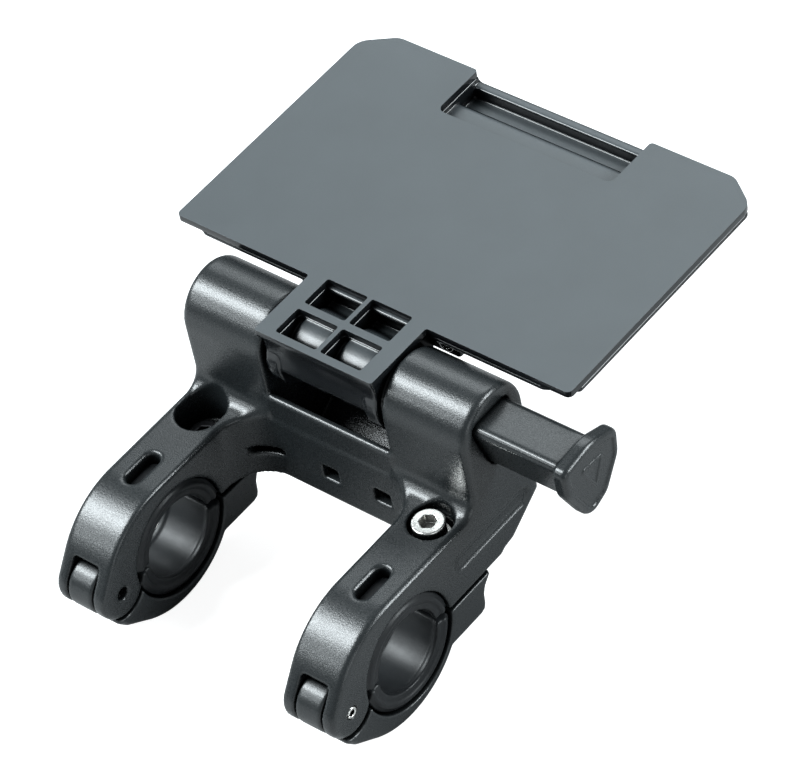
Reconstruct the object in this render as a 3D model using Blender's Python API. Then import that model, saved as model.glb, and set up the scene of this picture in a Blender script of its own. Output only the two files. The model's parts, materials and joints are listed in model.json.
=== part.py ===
"""Phone mount for a bicycle handlebar: two hinged clamps, a tilting plate and a push-button lock.

Millimetres throughout, scaled to metres when a mesh is made.
X runs along the handlebar towards the push button, Y back along the plate, Z up.
Sizes below are measured from the handlebar's axis, midway between the two clamps.
Finished objects are shifted so that the world's origin is the middle of the plate's top face.
"""

import math

import bmesh
import bpy
from mathutils import Vector

MM = 0.001
GAP = 0.3                 # between pieces that touch
OVERLAP = 1.0             # how far joined shapes run into each other
THROUGH = 1.0             # how far a cutter runs past the face it enters by

# Clamps
CLAMP_X = 36.2            # centre plane of each clamp
CLAMP_W = 16.0
BAR_BORE_R = 15.9
PAD_R = 11.1              # inside the pads: a 22.2 mm bar
PAD_MID_R = 11.5          # between the pads' beads
PAD_BEAD_R = 14.6         # where the bead leaves the bore
ARM_TOP_Z = 20.6
SPLIT_TOP_Z = 0.5         # underside of the arm
SPLIT_LOW_Z = -0.8        # top of the jaw's flange
NOSE_R = 24.8             # big round at the front of the arm
NOSE_Y = -3.6
STEP_R = 5.0              # fillet where the arm meets the tower's front
KEY_SLOT = (0.4, 5.4, 2.1)           # Y, half length and radius of the slot that keys the upper pad
SIDE_STRIP = (34.2, 11.0, 14.2, 2.6)  # Y, Z, half length and radius of the shallow side panel
SIDE_STRIP_DEPTH = 0.5
JAW_PIN = (-21.9, 0.5)    # Y, Z of the jaw's hinge pin
JAW_PIN_R = 1.6
EAR_R = 7.2
SEAT_R = 7.8              # the jaw clears the ears by this circle
KNUCKLE_R = 6.1
KNUCKLE_FRONT_R = 7.2
KNUCKLE_W = 7.8
BELLY = (-3.0, 3.7)       # centre of the jaw's round underside
BELLY_R = 23.1
FLANGE_LOW_Z = -11.5
EAR_SLOT_W = 8.6
EAR_SLOT_R = 9.3
PIN_CLEAR = 0.15

# Clamp bolts, M5 cap screws
BOLT_Y = 22.0
BOLT_R = 2.2
BOLT_HEAD_R = 4.2
BOLT_HEAD_H = 5.0
BOLT_HOLE_R = 2.8
BOLT_TIP_Z = -5.8
HEAD_TOP_Z = {"left": 13.3, "right": 21.4}
SOCKET_R = 2.3
COUNTERBORE_R = 6.1
WASHER_R = 5.4
WASHER_H = 1.0
INSERT_R = 3.6
INSERT_BORE_R = 2.56
INSERT_H = 5.6

# Hinge barrels and towers
HINGE = (41.8, 39.5)      # Y, Z of the tilt axis
BARREL_R = 11.5
TOWER_IN_X = 18.9
TOWER_OUT_X = CLAMP_X + CLAMP_W / 2
TOWER_BORE_R = 7.0
POCKET_FLOOR_X = 24.0     # inner end of the button's pocket
POCKET_CLEAR = 0.8
BACK_Y = HINGE[0] + BARREL_R
FRONT_Y = HINGE[0] - BARREL_R
HEEL = (38.0, 53.3, 8.8)  # where the underside turns up, where it ends, and that height
CORE_Z = (13.0, 26.4)     # pockets in the back of each tower
CORES = ((21.4, 31.4, 32.5), (33.4, 41.8, 37.0))     # inner X, outer X, front Y

# Crossbeam
BEAM_FRONT_Y = 29.5
BEAM_TOP_Z = 28.0
BEAM_WALL = 2.5
WEB_R = 11.0              # fillet between crossbeam and arm
SQUARE_HOLES = ((-5.0, 7.2), (11.4, 7.8))            # left X and low Z
SQUARE_HOLE_W = (5.2, 4.6)
CURVED_SLOT_Z = (7.6, 9.8)

# Plate
PLATE_HALF_W = 61.0
PLATE_FRONT_Y = 51.3
PLATE_BACK_Y = 130.1
PLATE_TOP_Z = 51.6
SHEET_H = 1.85
PLATE_CHAMFER = (8.6, 6.1)           # X and Y cut off its rear corners
NOTCH_HALF_W = 27.0
NOTCH_Y = 113.4
CARRIER_TOP_Z = PLATE_TOP_Z - SHEET_H - GAP
CARRIER_LOW_Z = 48.0
SHELF_LOW_Z = 46.2
RIB_LOW_Z = 46.6
PLATE_MIDDLE = (0.0, 85.0, PLATE_TOP_Z)
CARRIER_INSET = 0.1
CARRIER_FRONT_CUT = (8.5, 4.0)       # X and Y by which its front corners are cut back
CARRIER_CHAMFER = (9.2, 6.6)
FIELD_X = ((3.2, 27.5), (30.5, 55.5))                # openings that lighten the carrier
FIELD_Y = (66.0, 106.5)
RIBS = ((-56.0, 56.0, 62.2, 64.2), (-56.0, 56.0, 108.2, 110.2), (-1.0, 1.0, 58.0, 109.0),
        (-30.0, -28.0, 58.0, 109.0), (28.0, 30.0, 58.0, 109.0))
LATCH_GROOVE = (26.9, 121.4, 127.3)  # half width, front Y, back Y
GROOVE_FLOOR_Z = (43.2, 44.7)        # underside and top of the groove's floor
GROOVE_WALL = 1.5

# Hinge lug on the plate
LUG_HALF_W = 18.2
LUG_FRONT_Y = 30.0
LUG_LIP = 0.9
LUG_LOW_Z = 38.6
CHEEK_X = 13.2
CHEEK_R = 11.2
HUB_R = 9.5
HUB_CORE_R = 8.0          # between the raised drums that show through the windows
DRUM_X = (2.3, 11.6)      # inner and outer end of each drum
HUB_BORE_R = 6.8
HUB_HALF_W = 18.2
WINDOW_X = ((-13.2, -0.6), (0.7, 13.2))
WINDOW_Y = ((32.2, 41.1), (43.3, 52.6))
SPINE = (24.5, 54.4, 58.8, 41.6)     # half width, front Y, back Y, low Z
REAR_SCREW = (41.0, 118.5)           # X, Y of the screws from below
SPINE_SCREW = (21.4, 45.6)           # X, Z of the screws from the front
SPINE_WEB_H = 3.0
SCREW_R = 1.1
PILOT_R = 1.25
SCREW_HOLE_R = 1.6
SCREW_HEAD_R = 2.1
REAR_BOSS_R = 3.0
REAR_CUP_R = 5.0
REAR_CUP_Z = (44.4, 46.1)            # outside and inside of the cup's floor

# Push button and lock
BUTTON_TRAVEL = 8.0
SHAFT_END_X = 69.4
SHAFT_IN_X = 33.0
PIN_R = 4.0
CAP_X = (69.7, 73.8)
SPIGOT_R = 3.0
PIN_TAIL_X = -15.0
CONE_X = (4.0, 7.6, 11.2)            # back, shoulder, nose
CONE_R = (6.4, 4.9)
CLIP_GROOVE_X = CONE_X[0] - 1.3
CLIP_R = 5.6
BUSH_R = 6.6
BUSH_BORE_R = 4.25
BUSH_X = (13.4, 23.6)
SPRING_X = (-12.45, 2.25)            # centres of the first and last coil
SPRING_R = 5.4
SPRING_WIRE_R = 0.45
SPRING_TURNS = 7
PLUG_X = (-44.2, -40.6)

SIDES = {"left": -1, "right": 1}


# ---------------------------------------------------------------- outlines

def arc(centre, radius, start, end, steps):
    """Points on a circle from one angle to another, in degrees, both ends included."""
    points = []
    for i in range(steps + 1):
        angle = math.radians(start + (end - start) * i / steps)
        points.append((centre[0] + radius * math.cos(angle), centre[1] + radius * math.sin(angle)))
    return points


def angle_of(centre, point):
    return math.degrees(math.atan2(point[1] - centre[1], point[0] - centre[0]))


def meeting(c1, r1, c2, r2, side):
    """Where two circles cross; side +1 or -1 picks the left or right of the line c1 to c2."""
    dx, dy = c2[0] - c1[0], c2[1] - c1[1]
    apart = math.hypot(dx, dy)
    along = (r1 * r1 - r2 * r2 + apart * apart) / (2 * apart)
    off = side * math.sqrt(r1 * r1 - along * along)
    return (
        c1[0] + (along * dx - off * dy) / apart,
        c1[1] + (along * dy + off * dx) / apart,
    )


def tangent_angle(c1, r1, c2, r2, side):
    """Direction, the same from both centres, in which one straight line touches two circles."""
    apart = math.hypot(c2[0] - c1[0], c2[1] - c1[1])
    return angle_of(c1, c2) % 360 + side * math.degrees(math.acos((r1 - r2) / apart))


def circle(centre, radius, steps):
    return arc(centre, radius, 0, 360 - 360 / steps, steps - 1)


def obround(centre, half_length, radius, along_first=True, steps=8):
    """A slot outline: two half circles joined by straight sides."""
    a, b = centre
    reach = half_length - radius
    if along_first:
        return arc((a + reach, b), radius, -90, 90, steps) + arc((a - reach, b), radius, 90, 270, steps)
    return arc((a, b + reach), radius, 0, 180, steps) + arc((a, b - reach), radius, 180, 360, steps)


def rectangle(low_a, high_a, low_b, high_b):
    return [(low_a, low_b), (high_a, low_b), (high_a, high_b), (low_a, high_b)]


def rounded(corners, radii, steps=4):
    """A polygon with each corner rounded by its own radius."""
    points = []
    count = len(corners)
    for i, corner in enumerate(corners):
        radius = radii[i] if isinstance(radii, (list, tuple)) else radii
        here = Vector(corner)
        back = (Vector(corners[i - 1]) - here).normalized()
        ahead = (Vector(corners[(i + 1) % count]) - here).normalized()
        if radius <= 0:
            points.append(corner)
            continue
        half = back.angle(ahead) / 2
        reach = radius / math.tan(half)
        middle = here + (back + ahead).normalized() * radius / math.sin(half)
        first = here + back * reach - middle
        last = here + ahead * reach - middle
        start = math.atan2(first.y, first.x)
        sweep = math.atan2(last.y, last.x) - start
        sweep = (sweep + math.pi) % (2 * math.pi) - math.pi
        for k in range(steps + 1):
            angle = start + sweep * k / steps
            points.append((middle.x + radius * math.cos(angle), middle.y + radius * math.sin(angle)))
    return points


def from_hinge(corners):
    """Outline corners given from the tilt axis."""
    return [(HINGE[0] + y, HINGE[1] + z) for y, z in corners]


def button_outline(grow):
    """The button shaft's section: a triangle, flat side up, with rounded corners."""
    side = grow * 1.3
    corners = [(-7.6 - side, 6.0 + grow), (-1.0, -14.8 - 2.0 * grow), (6.9 + side, 6.0 + grow)]
    return rounded(from_hinge(corners), [1.8, 2.4, 1.8])


def cap_outline():
    """The button cap's face: a plectrum shape, arched top and a blunt point below."""
    corners = [(-10.3, 8.8), (-9.9, 0.6), (-3.0, -11.9), (4.0, -8.8), (9.9, -0.6), (10.5, 6.9), (0.8, 10.4)]
    return rounded(from_hinge(corners), [2.4, 6.0, 2.6, 6.0, 6.0, 2.8, 12.0])


# ---------------------------------------------------------------- solids

MATERIALS = {
    "bracket_plastic": ((0.040, 0.042, 0.045), 0.42, 0.0),
    "plate_plastic": ((0.075, 0.080, 0.083), 0.38, 0.0),
    "jaw_plastic": ((0.045, 0.047, 0.050), 0.40, 0.0),
    "button_plastic": ((0.035, 0.037, 0.038), 0.35, 0.0),
    "pad_rubber": ((0.020, 0.021, 0.022), 0.45, 0.0),
    "inner_plastic": ((0.050, 0.050, 0.052), 0.50, 0.0),
    "bright_steel": ((0.72, 0.71, 0.68), 0.25, 1.0),
    "black_steel": ((0.030, 0.030, 0.032), 0.40, 0.8),
    "spring_steel": ((0.55, 0.55, 0.56), 0.30, 1.0),
    "brass": ((0.62, 0.47, 0.22), 0.35, 1.0),
}


def material(name):
    found = bpy.data.materials.get(name)
    if found:
        return found
    colour, roughness, metallic = MATERIALS[name]
    made = bpy.data.materials.new(name)
    made.use_nodes = True
    shader = made.node_tree.nodes["Principled BSDF"]
    shader.inputs["Base Color"].default_value = (*colour, 1.0)
    shader.inputs["Roughness"].default_value = roughness
    shader.inputs["Metallic"].default_value = metallic
    return made


def place(axis, a, b, along):
    """A point from its two outline coordinates and its place along the extrusion axis."""
    if axis == "X":
        return Vector((along, a, b)) * MM
    if axis == "Y":
        return Vector((a, along, b)) * MM
    return Vector((a, b, along)) * MM


def finish_mesh(name, bm, look, pivot=None):
    """Turns a bmesh into an object, with its origin at pivot (millimetres) when one is given."""
    bmesh.ops.recalc_face_normals(bm, faces=bm.faces)
    origin = Vector(pivot) * MM if pivot else Vector((0, 0, 0))
    bmesh.ops.translate(bm, verts=bm.verts, vec=-origin)
    mesh = bpy.data.meshes.new(name)
    bm.to_mesh(mesh)
    bm.free()
    mesh.shade_smooth()
    mesh.set_sharp_from_angle(angle=math.radians(30))
    made = bpy.data.objects.new(name, mesh)
    made.location = origin - Vector(PLATE_MIDDLE) * MM
    bpy.context.collection.objects.link(made)
    if look:
        mesh.materials.append(material(look))
    return made


def prism_mesh(outline, axis, low, high):
    bm = bmesh.new()
    rings = [[bm.verts.new(place(axis, a, b, along)) for a, b in outline] for along in (low, high)]
    bm.faces.new(rings[0])
    bm.faces.new(rings[1])
    count = len(outline)
    for i in range(count):
        j = (i + 1) % count
        bm.faces.new((rings[0][i], rings[0][j], rings[1][j], rings[1][i]))
    return bm


def lathe_mesh(profile, axis, centre, steps):
    """Turns (along, radius) points about an axis line; a radius of 0 closes on the axis."""
    bm = bmesh.new()
    rings = []
    for along, radius in profile:
        if radius == 0:
            rings.append([bm.verts.new(place(axis, centre[0], centre[1], along))])
        else:
            rings.append([bm.verts.new(place(axis, a, b, along)) for a, b in circle(centre, radius, steps)])
    closed = profile[0][1] != 0
    pairs = list(zip(rings, rings[1:] + rings[:1])) if closed else list(zip(rings, rings[1:]))
    for first, second in pairs:
        for i in range(steps):
            j = (i + 1) % steps
            corners = [first[i % len(first)], first[j % len(first)], second[j % len(second)],
                       second[i % len(second)]]
            unique = list(dict.fromkeys(corners))
            bm.faces.new(unique)
    return bm


def prism(name, outline, axis, low, high, look=None, pivot=None):
    return finish_mesh(name, prism_mesh(outline, axis, low, high), look, pivot)


def lathe(name, profile, axis, centre, steps, look=None, pivot=None):
    return finish_mesh(name, lathe_mesh(profile, axis, centre, steps), look, pivot)


def combine(target, tool, operation):
    """Adds or cuts a helper shape, which stays as a hidden wire guide."""
    tool.hide_render = True
    tool.display_type = "WIRE"
    step = target.modifiers.new(tool.name, "BOOLEAN")
    step.operation = operation
    step.solver = "EXACT"
    step.object = tool


def add(target, tool):
    combine(target, tool, "UNION")


def cut(target, tool):
    combine(target, tool, "DIFFERENCE")


# ---------------------------------------------------------------- bracket

def heel_points():
    """The underside's back end, which turns up to meet the back face."""
    heel_y, back_y, heel_z = HEEL
    return [(heel_y, SPLIT_TOP_Z), (heel_y + 3.6, SPLIT_TOP_Z + 0.6), (back_y, heel_z)]


def side_outline():
    """Arm, tower and barrel seen along the handlebar."""
    nose = (NOSE_Y, ARM_TOP_Z - NOSE_R)
    leave = tangent_angle(nose, NOSE_R, JAW_PIN, EAR_R, -1)
    ear_end = meeting((0, 0), BAR_BORE_R, JAW_PIN, EAR_R, 1)
    bore_start = math.degrees(math.asin(SPLIT_TOP_Z / BAR_BORE_R))
    ear_to = angle_of(JAW_PIN, ear_end) % 360
    outline = [(BAR_BORE_R * math.cos(math.radians(bore_start)), SPLIT_TOP_Z)] + heel_points()
    outline += arc(HINGE, BARREL_R, 0, 180, 20)
    outline += arc((FRONT_Y - STEP_R, ARM_TOP_Z + STEP_R), STEP_R, 0, -90, 5)
    outline += arc(nose, NOSE_R, 90, leave, 9)
    outline += arc(JAW_PIN, EAR_R, leave, ear_to, 12)
    outline += arc((0, 0), BAR_BORE_R, angle_of((0, 0), ear_end) % 360, bore_start, 24)[1:-1]
    return outline


def tower_outline():
    return [(FRONT_Y, SPLIT_TOP_Z)] + heel_points() + arc(HINGE, BARREL_R, 0, 180, 20)


def beam_outline():
    """A U channel, open upwards under the plate's lug."""
    heel_y, back_y, heel_z = HEEL
    outside = [(BEAM_FRONT_Y, BEAM_TOP_Z), (BEAM_FRONT_Y, SPLIT_TOP_Z)] + heel_points()
    inner_front = BEAM_FRONT_Y + BEAM_WALL
    floor = SPLIT_TOP_Z + BEAM_WALL
    inside = [(back_y, BEAM_TOP_Z), (back_y - BEAM_WALL, BEAM_TOP_Z), (back_y - BEAM_WALL, heel_z + 1.6),
              (heel_y + 3.0, floor + 0.4), (inner_front, floor), (inner_front, BEAM_TOP_Z)]
    return outside + inside


def make_bracket():
    body = prism("bracket_body", beam_outline(), "X", -TOWER_IN_X - OVERLAP, TOWER_IN_X + OVERLAP,
                 "bracket_plastic")
    inner_x = CLAMP_X - CLAMP_W / 2
    for side, sign in SIDES.items():
        low, high = sorted((sign * TOWER_IN_X, sign * (inner_x + OVERLAP)))
        add(body, prism(f"guide_tower_{side}", tower_outline(), "X", low, high))
        low, high = sorted((sign * inner_x, sign * TOWER_OUT_X))
        add(body, prism(f"guide_side_{side}", side_outline(), "X", low, high))
        centre = (sign * (inner_x - WEB_R), BEAM_FRONT_Y - WEB_R)
        start, end = (0, 90) if sign > 0 else (180, 90)
        web = arc(centre, WEB_R, start, end, 6)
        web += [(centre[0], BEAM_FRONT_Y + OVERLAP), (sign * (inner_x + OVERLAP), BEAM_FRONT_Y + OVERLAP),
                (sign * (inner_x + OVERLAP), centre[1])]
        add(body, prism(f"guide_web_{side}", web, "Z", SPLIT_TOP_Z, ARM_TOP_Z))
    for side, sign in SIDES.items():
        cut_clamp_arm(body, side, sign * CLAMP_X)
        cut_tower_back(body, side, sign)
    cut_hinge(body)
    cut_beam_holes(body)
    return body


def cut_clamp_arm(body, side, x):
    floor = HEAD_TOP_Z[side] - BOLT_HEAD_H - WASHER_H - 2 * GAP
    well = circle((x, BOLT_Y), COUNTERBORE_R, 28)
    cut(body, prism(f"cut_counterbore_{side}", well, "Z", floor, ARM_TOP_Z + 14))
    hole = circle((x, BOLT_Y), BOLT_HOLE_R, 16)
    cut(body, prism(f"cut_bolt_{side}", hole, "Z", SPLIT_TOP_Z - THROUGH, floor + THROUGH))
    y, half_length, radius = KEY_SLOT
    slot = obround((x, y), half_length, radius, False, 5)
    cut(body, prism(f"cut_key_slot_{side}", slot, "Z", BAR_BORE_R - 7, ARM_TOP_Z + THROUGH))
    low, high = x - CLAMP_W / 2 - THROUGH, x + CLAMP_W / 2 + THROUGH
    cut(body, prism(f"cut_pin_{side}", circle(JAW_PIN, JAW_PIN_R + PIN_CLEAR, 16), "X", low, high))
    front, below = JAW_PIN[0] - EAR_R - 5, JAW_PIN[1] - EAR_R - 5
    ear_slot = arc(JAW_PIN, EAR_SLOT_R, 0, 150, 8)
    ear_slot += [(front, 5.0), (front, below), (JAW_PIN[0] + EAR_SLOT_R, below)]
    cut(body, prism(f"cut_ear_slot_{side}", ear_slot, "X", x - EAR_SLOT_W / 2, x + EAR_SLOT_W / 2))


def cut_tower_back(body, side, sign):
    """Core-outs in the back of each tower, with a rib between them."""
    for index, (near, far, front) in enumerate(CORES):
        low, high = sorted((sign * near, sign * far))
        core = rounded(rectangle(low, high, *CORE_Z), 1.5, 2)
        cut(body, prism(f"cut_core_{side}_{index}", core, "Y", front, HEEL[1] + THROUGH))


def cut_hinge(body):
    bore = circle(HINGE, TOWER_BORE_R, 28)
    cut(body, prism("cut_bore_left", bore, "X", -TOWER_OUT_X - THROUGH, -TOWER_IN_X + 2 * OVERLAP))
    cut(body, prism("cut_bore_right", bore, "X", TOWER_IN_X - 2 * OVERLAP, POCKET_FLOOR_X + THROUGH))
    pocket = button_outline(POCKET_CLEAR)
    cut(body, prism("cut_button_pocket", pocket, "X", POCKET_FLOOR_X, TOWER_OUT_X + THROUGH))


def cut_beam_holes(body):
    low, high = BEAM_FRONT_Y - THROUGH, BEAM_FRONT_Y + BEAM_WALL + THROUGH
    wide, tall = SQUARE_HOLE_W
    for index, (left, base) in enumerate(SQUARE_HOLES):
        hole = rectangle(left, left + wide, base, base + tall)
        cut(body, prism(f"cut_square_{index}", hole, "Y", low, high))
    centre = (-(CLAMP_X - CLAMP_W / 2 - WEB_R), BEAM_FRONT_Y - WEB_R)
    band = arc(centre, WEB_R - 1.5, 92, 140, 6) + arc(centre, WEB_R + 3.0, 140, 92, 6)
    cut(body, prism("cut_curved_slot", band, "Z", *CURVED_SLOT_Z))
    y, z, half_length, radius = SIDE_STRIP
    strip = obround((y, z), half_length, radius)
    cut(body, prism("cut_side_strip", strip, "X", TOWER_OUT_X - SIDE_STRIP_DEPTH, TOWER_OUT_X + THROUGH))


# ---------------------------------------------------------------- clamps

def jaw_outline():
    """The lower jaw, outside the circle that clears the ears."""
    bore_r = BAR_BORE_R + GAP
    seat_end = meeting((0, 0), bore_r, JAW_PIN, SEAT_R, 1)
    bore_start = math.degrees(math.asin(SPLIT_LOW_Z / bore_r))
    outline = [(31.0, SPLIT_LOW_Z), (31.4, -1.6), (29.2, -4.0), (28.4, -6.0), (28.2, -9.2), (27.6, -10.8),
               (26.0, FLANGE_LOW_Z), (14.4, FLANGE_LOW_Z)]
    outline += arc(BELLY, BELLY_R, -42.5, -127, 9)
    outline += [(-23.0, -10.6), (-25.4, -7.8)]
    outline += arc(JAW_PIN, SEAT_R, 246, angle_of(JAW_PIN, seat_end) % 360, 8)
    outline += arc((0, 0), bore_r, angle_of((0, 0), seat_end) % 360, 360 + bore_start, 22)[1:]
    return outline


def knuckle_outline():
    """The tab that runs up between the ears, round the hinge pin."""
    points = arc(JAW_PIN, KNUCKLE_FRONT_R, 96, 246, 10)
    points += [(-24.6, -8.2), (-22.4, -10.4), (-18.0, -13.6), (-12.4, -12.6), (-15.6, -6.2)]
    points += arc(JAW_PIN, KNUCKLE_R, -40, 92, 9)
    return points


def make_jaw(side, x):
    half = CLAMP_W / 2
    pivot = (x, *JAW_PIN)
    jaw = prism(f"clamp_jaw_{side}", jaw_outline(), "X", x - half, x + half, "jaw_plastic", pivot)
    tab = KNUCKLE_W / 2
    add(jaw, prism(f"guide_knuckle_{side}", knuckle_outline(), "X", x - tab, x + tab))
    hole = circle(JAW_PIN, JAW_PIN_R + PIN_CLEAR, 16)
    cut(jaw, prism(f"cut_knuckle_pin_{side}", hole, "X", x - half - THROUGH, x + half + THROUGH))
    well = SPLIT_LOW_Z - INSERT_H - GAP
    seat = circle((x, BOLT_Y), INSERT_R + PIN_CLEAR, 20)
    cut(jaw, prism(f"cut_insert_{side}", seat, "Z", well, SPLIT_LOW_Z + THROUGH))
    relief = circle((x, BOLT_Y), INSERT_R - 0.5, 16)
    cut(jaw, prism(f"cut_relief_{side}", relief, "Z", FLANGE_LOW_Z - THROUGH, well + THROUGH))
    return jaw


def make_bolt(side, x):
    top = HEAD_TOP_Z[side]
    under = top - BOLT_HEAD_H
    look = "bright_steel" if side == "right" else "black_steel"
    pivot = (x, BOLT_Y, top)
    profile = [(BOLT_TIP_Z, 0), (BOLT_TIP_Z, BOLT_R - 0.6), (BOLT_TIP_Z + 0.6, BOLT_R), (under, BOLT_R),
               (under, BOLT_HEAD_R), (top - 0.4, BOLT_HEAD_R), (top, BOLT_HEAD_R - 0.4), (top, 0)]
    bolt = lathe(f"clamp_bolt_{side}", profile, "Z", (x, BOLT_Y), 24, look, pivot)
    socket = circle((x, BOLT_Y), SOCKET_R, 6)
    cut(bolt, prism(f"cut_socket_{side}", socket, "Z", top - 2.6, top + 1))
    washer_top = under - 0.1
    ring = [(washer_top - WASHER_H, BOLT_HOLE_R - 0.15), (washer_top - WASHER_H, WASHER_R),
            (washer_top, WASHER_R), (washer_top, BOLT_HOLE_R - 0.15)]
    lathe(f"bolt_washer_{side}", ring, "Z", (x, BOLT_Y), 24, look, pivot)


def make_insert(side, x):
    """Threaded insert; its bore stands for the thread."""
    top = SPLIT_LOW_Z - 0.1
    ring = [(top - INSERT_H, INSERT_BORE_R), (top - INSERT_H, INSERT_R), (top, INSERT_R),
            (top, INSERT_BORE_R)]
    lathe(f"thread_insert_{side}", ring, "Z", (x, BOLT_Y), 20, "brass", (x, *JAW_PIN))


def make_jaw_pin(side, x):
    half = CLAMP_W / 2 - (0.1 if side == "right" else 2.2)
    inner = JAW_PIN_R - 0.75
    ring = [(x - half, inner), (x - half, JAW_PIN_R), (x + half, JAW_PIN_R), (x + half, inner)]
    lathe(f"jaw_pin_{side}", ring, "X", JAW_PIN, 16, "bright_steel", (x, *JAW_PIN))


def part_turn_mesh(profile, centre, start, end, steps):
    """Turns a closed (along X, radius) profile through part of a circle and caps both ends."""
    bm = bmesh.new()
    rings = []
    for i in range(steps + 1):
        angle = math.radians(start + (end - start) * i / steps)
        ring = []
        for along, radius in profile:
            point = (centre[0] + radius * math.cos(angle), centre[1] + radius * math.sin(angle))
            ring.append(bm.verts.new(place("X", *point, along)))
        rings.append(ring)
    count = len(profile)
    for first, second in zip(rings, rings[1:]):
        for k in range(count):
            n = (k + 1) % count
            bm.faces.new((first[k], first[n], second[n], second[k]))
    bm.faces.new(rings[0])
    bm.faces.new(rings[-1])
    return bm


def pad_profile(x):
    """Half-shell section along X: thin in the middle, with a bead that stands proud at each rim."""
    reach = CLAMP_W / 2 - 0.1
    half = [(reach - 0.8, BAR_BORE_R - GAP), (reach - 0.6, PAD_BEAD_R), (reach, PAD_BEAD_R - 0.6),
            (reach, PAD_R + 0.5), (reach - 0.5, PAD_R), (reach - 1.5, PAD_R), (reach - 2.3, PAD_MID_R)]
    right = [(x + along, radius) for along, radius in half]
    left = [(x - along, radius) for along, radius in reversed(half)]
    return right + left


def make_pads(side, x):
    """Two half-shell liners."""
    cut_half = CLAMP_W / 2 + THROUGH
    for half_name, start, end in (("upper", 4, 177), ("lower", 180.5, 356)):
        pivot = (x, *JAW_PIN) if half_name == "lower" else None
        shell = part_turn_mesh(pad_profile(x), (0, 0), start, end, 18)
        pad = finish_mesh(f"bar_pad_{half_name}_{side}", shell, "pad_rubber", pivot)
        if half_name == "lower":
            clear = circle(JAW_PIN, EAR_R + GAP, 24)
            cut(pad, prism(f"cut_pad_ear_{side}", clear, "X", x - cut_half, x + cut_half))
        else:
            y, half_length, radius = KEY_SLOT
            key = obround((x, y), half_length - 0.4, radius - GAP, False, 5)
            add(pad, prism(f"guide_pad_key_{side}", key, "Z", PAD_BEAD_R - 0.2, BAR_BORE_R + 1.3))


# ---------------------------------------------------------------- plate

def plate_corners(inset, chamfer, front_cut=(0, 0)):
    """Plate outline without the lug, anticlockwise from the front right corner."""
    chamfer_x, chamfer_y = chamfer
    w = PLATE_HALF_W - inset
    front = PLATE_FRONT_Y + inset
    back = PLATE_BACK_Y - inset
    notch = NOTCH_HALF_W + inset
    notch_y = NOTCH_Y - inset
    cut_x, cut_y = front_cut
    right = [(w, front + cut_y), (w, back - chamfer_y), (w - chamfer_x, back), (notch, back),
             (notch, notch_y)]
    left = [(-x, y) for x, y in reversed(right)]
    if cut_x:
        return right + left + [(-w + cut_x, front), (w - cut_x, front)]
    return right + left


def windows():
    return [(x, y) for x in WINDOW_X for y in WINDOW_Y]


def make_top_plate():
    tongue = [(-LUG_HALF_W, PLATE_FRONT_Y), (-LUG_HALF_W, LUG_FRONT_Y), (LUG_HALF_W, LUG_FRONT_Y),
              (LUG_HALF_W, PLATE_FRONT_Y)]
    corners = plate_corners(0, PLATE_CHAMFER) + tongue
    radii = [1.5, 2.0, 2.0, 1.0, 2.0, 2.0, 1.0, 2.0, 2.0, 1.5, 0, 0.8, 0.8, 0]
    outline = rounded(corners, radii, 3)
    low = PLATE_TOP_Z - SHEET_H
    plate = prism("top_plate", outline, "Z", low, PLATE_TOP_Z, "plate_plastic", (0, *HINGE))
    half, _, back, spine_low = SPINE
    web = rectangle(-half, half, back + GAP, back + GAP + SPINE_WEB_H)
    add(plate, prism("guide_spine_web", web, "Z", spine_low, low + OVERLAP / 2))
    for side, sign in SIDES.items():
        rear = (sign * REAR_SCREW[0], REAR_SCREW[1])
        boss = circle(rear, REAR_BOSS_R, 16)
        add(plate, prism(f"guide_rear_boss_{side}", boss, "Z", REAR_CUP_Z[1] + GAP, low + OVERLAP / 2))
        pilot = circle(rear, PILOT_R, 12)
        cut(plate, prism(f"cut_rear_pilot_{side}", pilot, "Z", REAR_CUP_Z[0], low + 0.6))
        pilot = circle((sign * SPINE_SCREW[0], SPINE_SCREW[1]), PILOT_R, 12)
        cut(plate, prism(f"cut_spine_pilot_{side}", pilot, "Y", back, back + SPINE_WEB_H + 2 * THROUGH))
    for index, (window_x, window_y) in enumerate(windows()):
        hole = rectangle(*window_x, *window_y)
        cut(plate, prism(f"cut_window_{index}", hole, "Z", low - THROUGH, PLATE_TOP_Z + THROUGH))
    return plate


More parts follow.
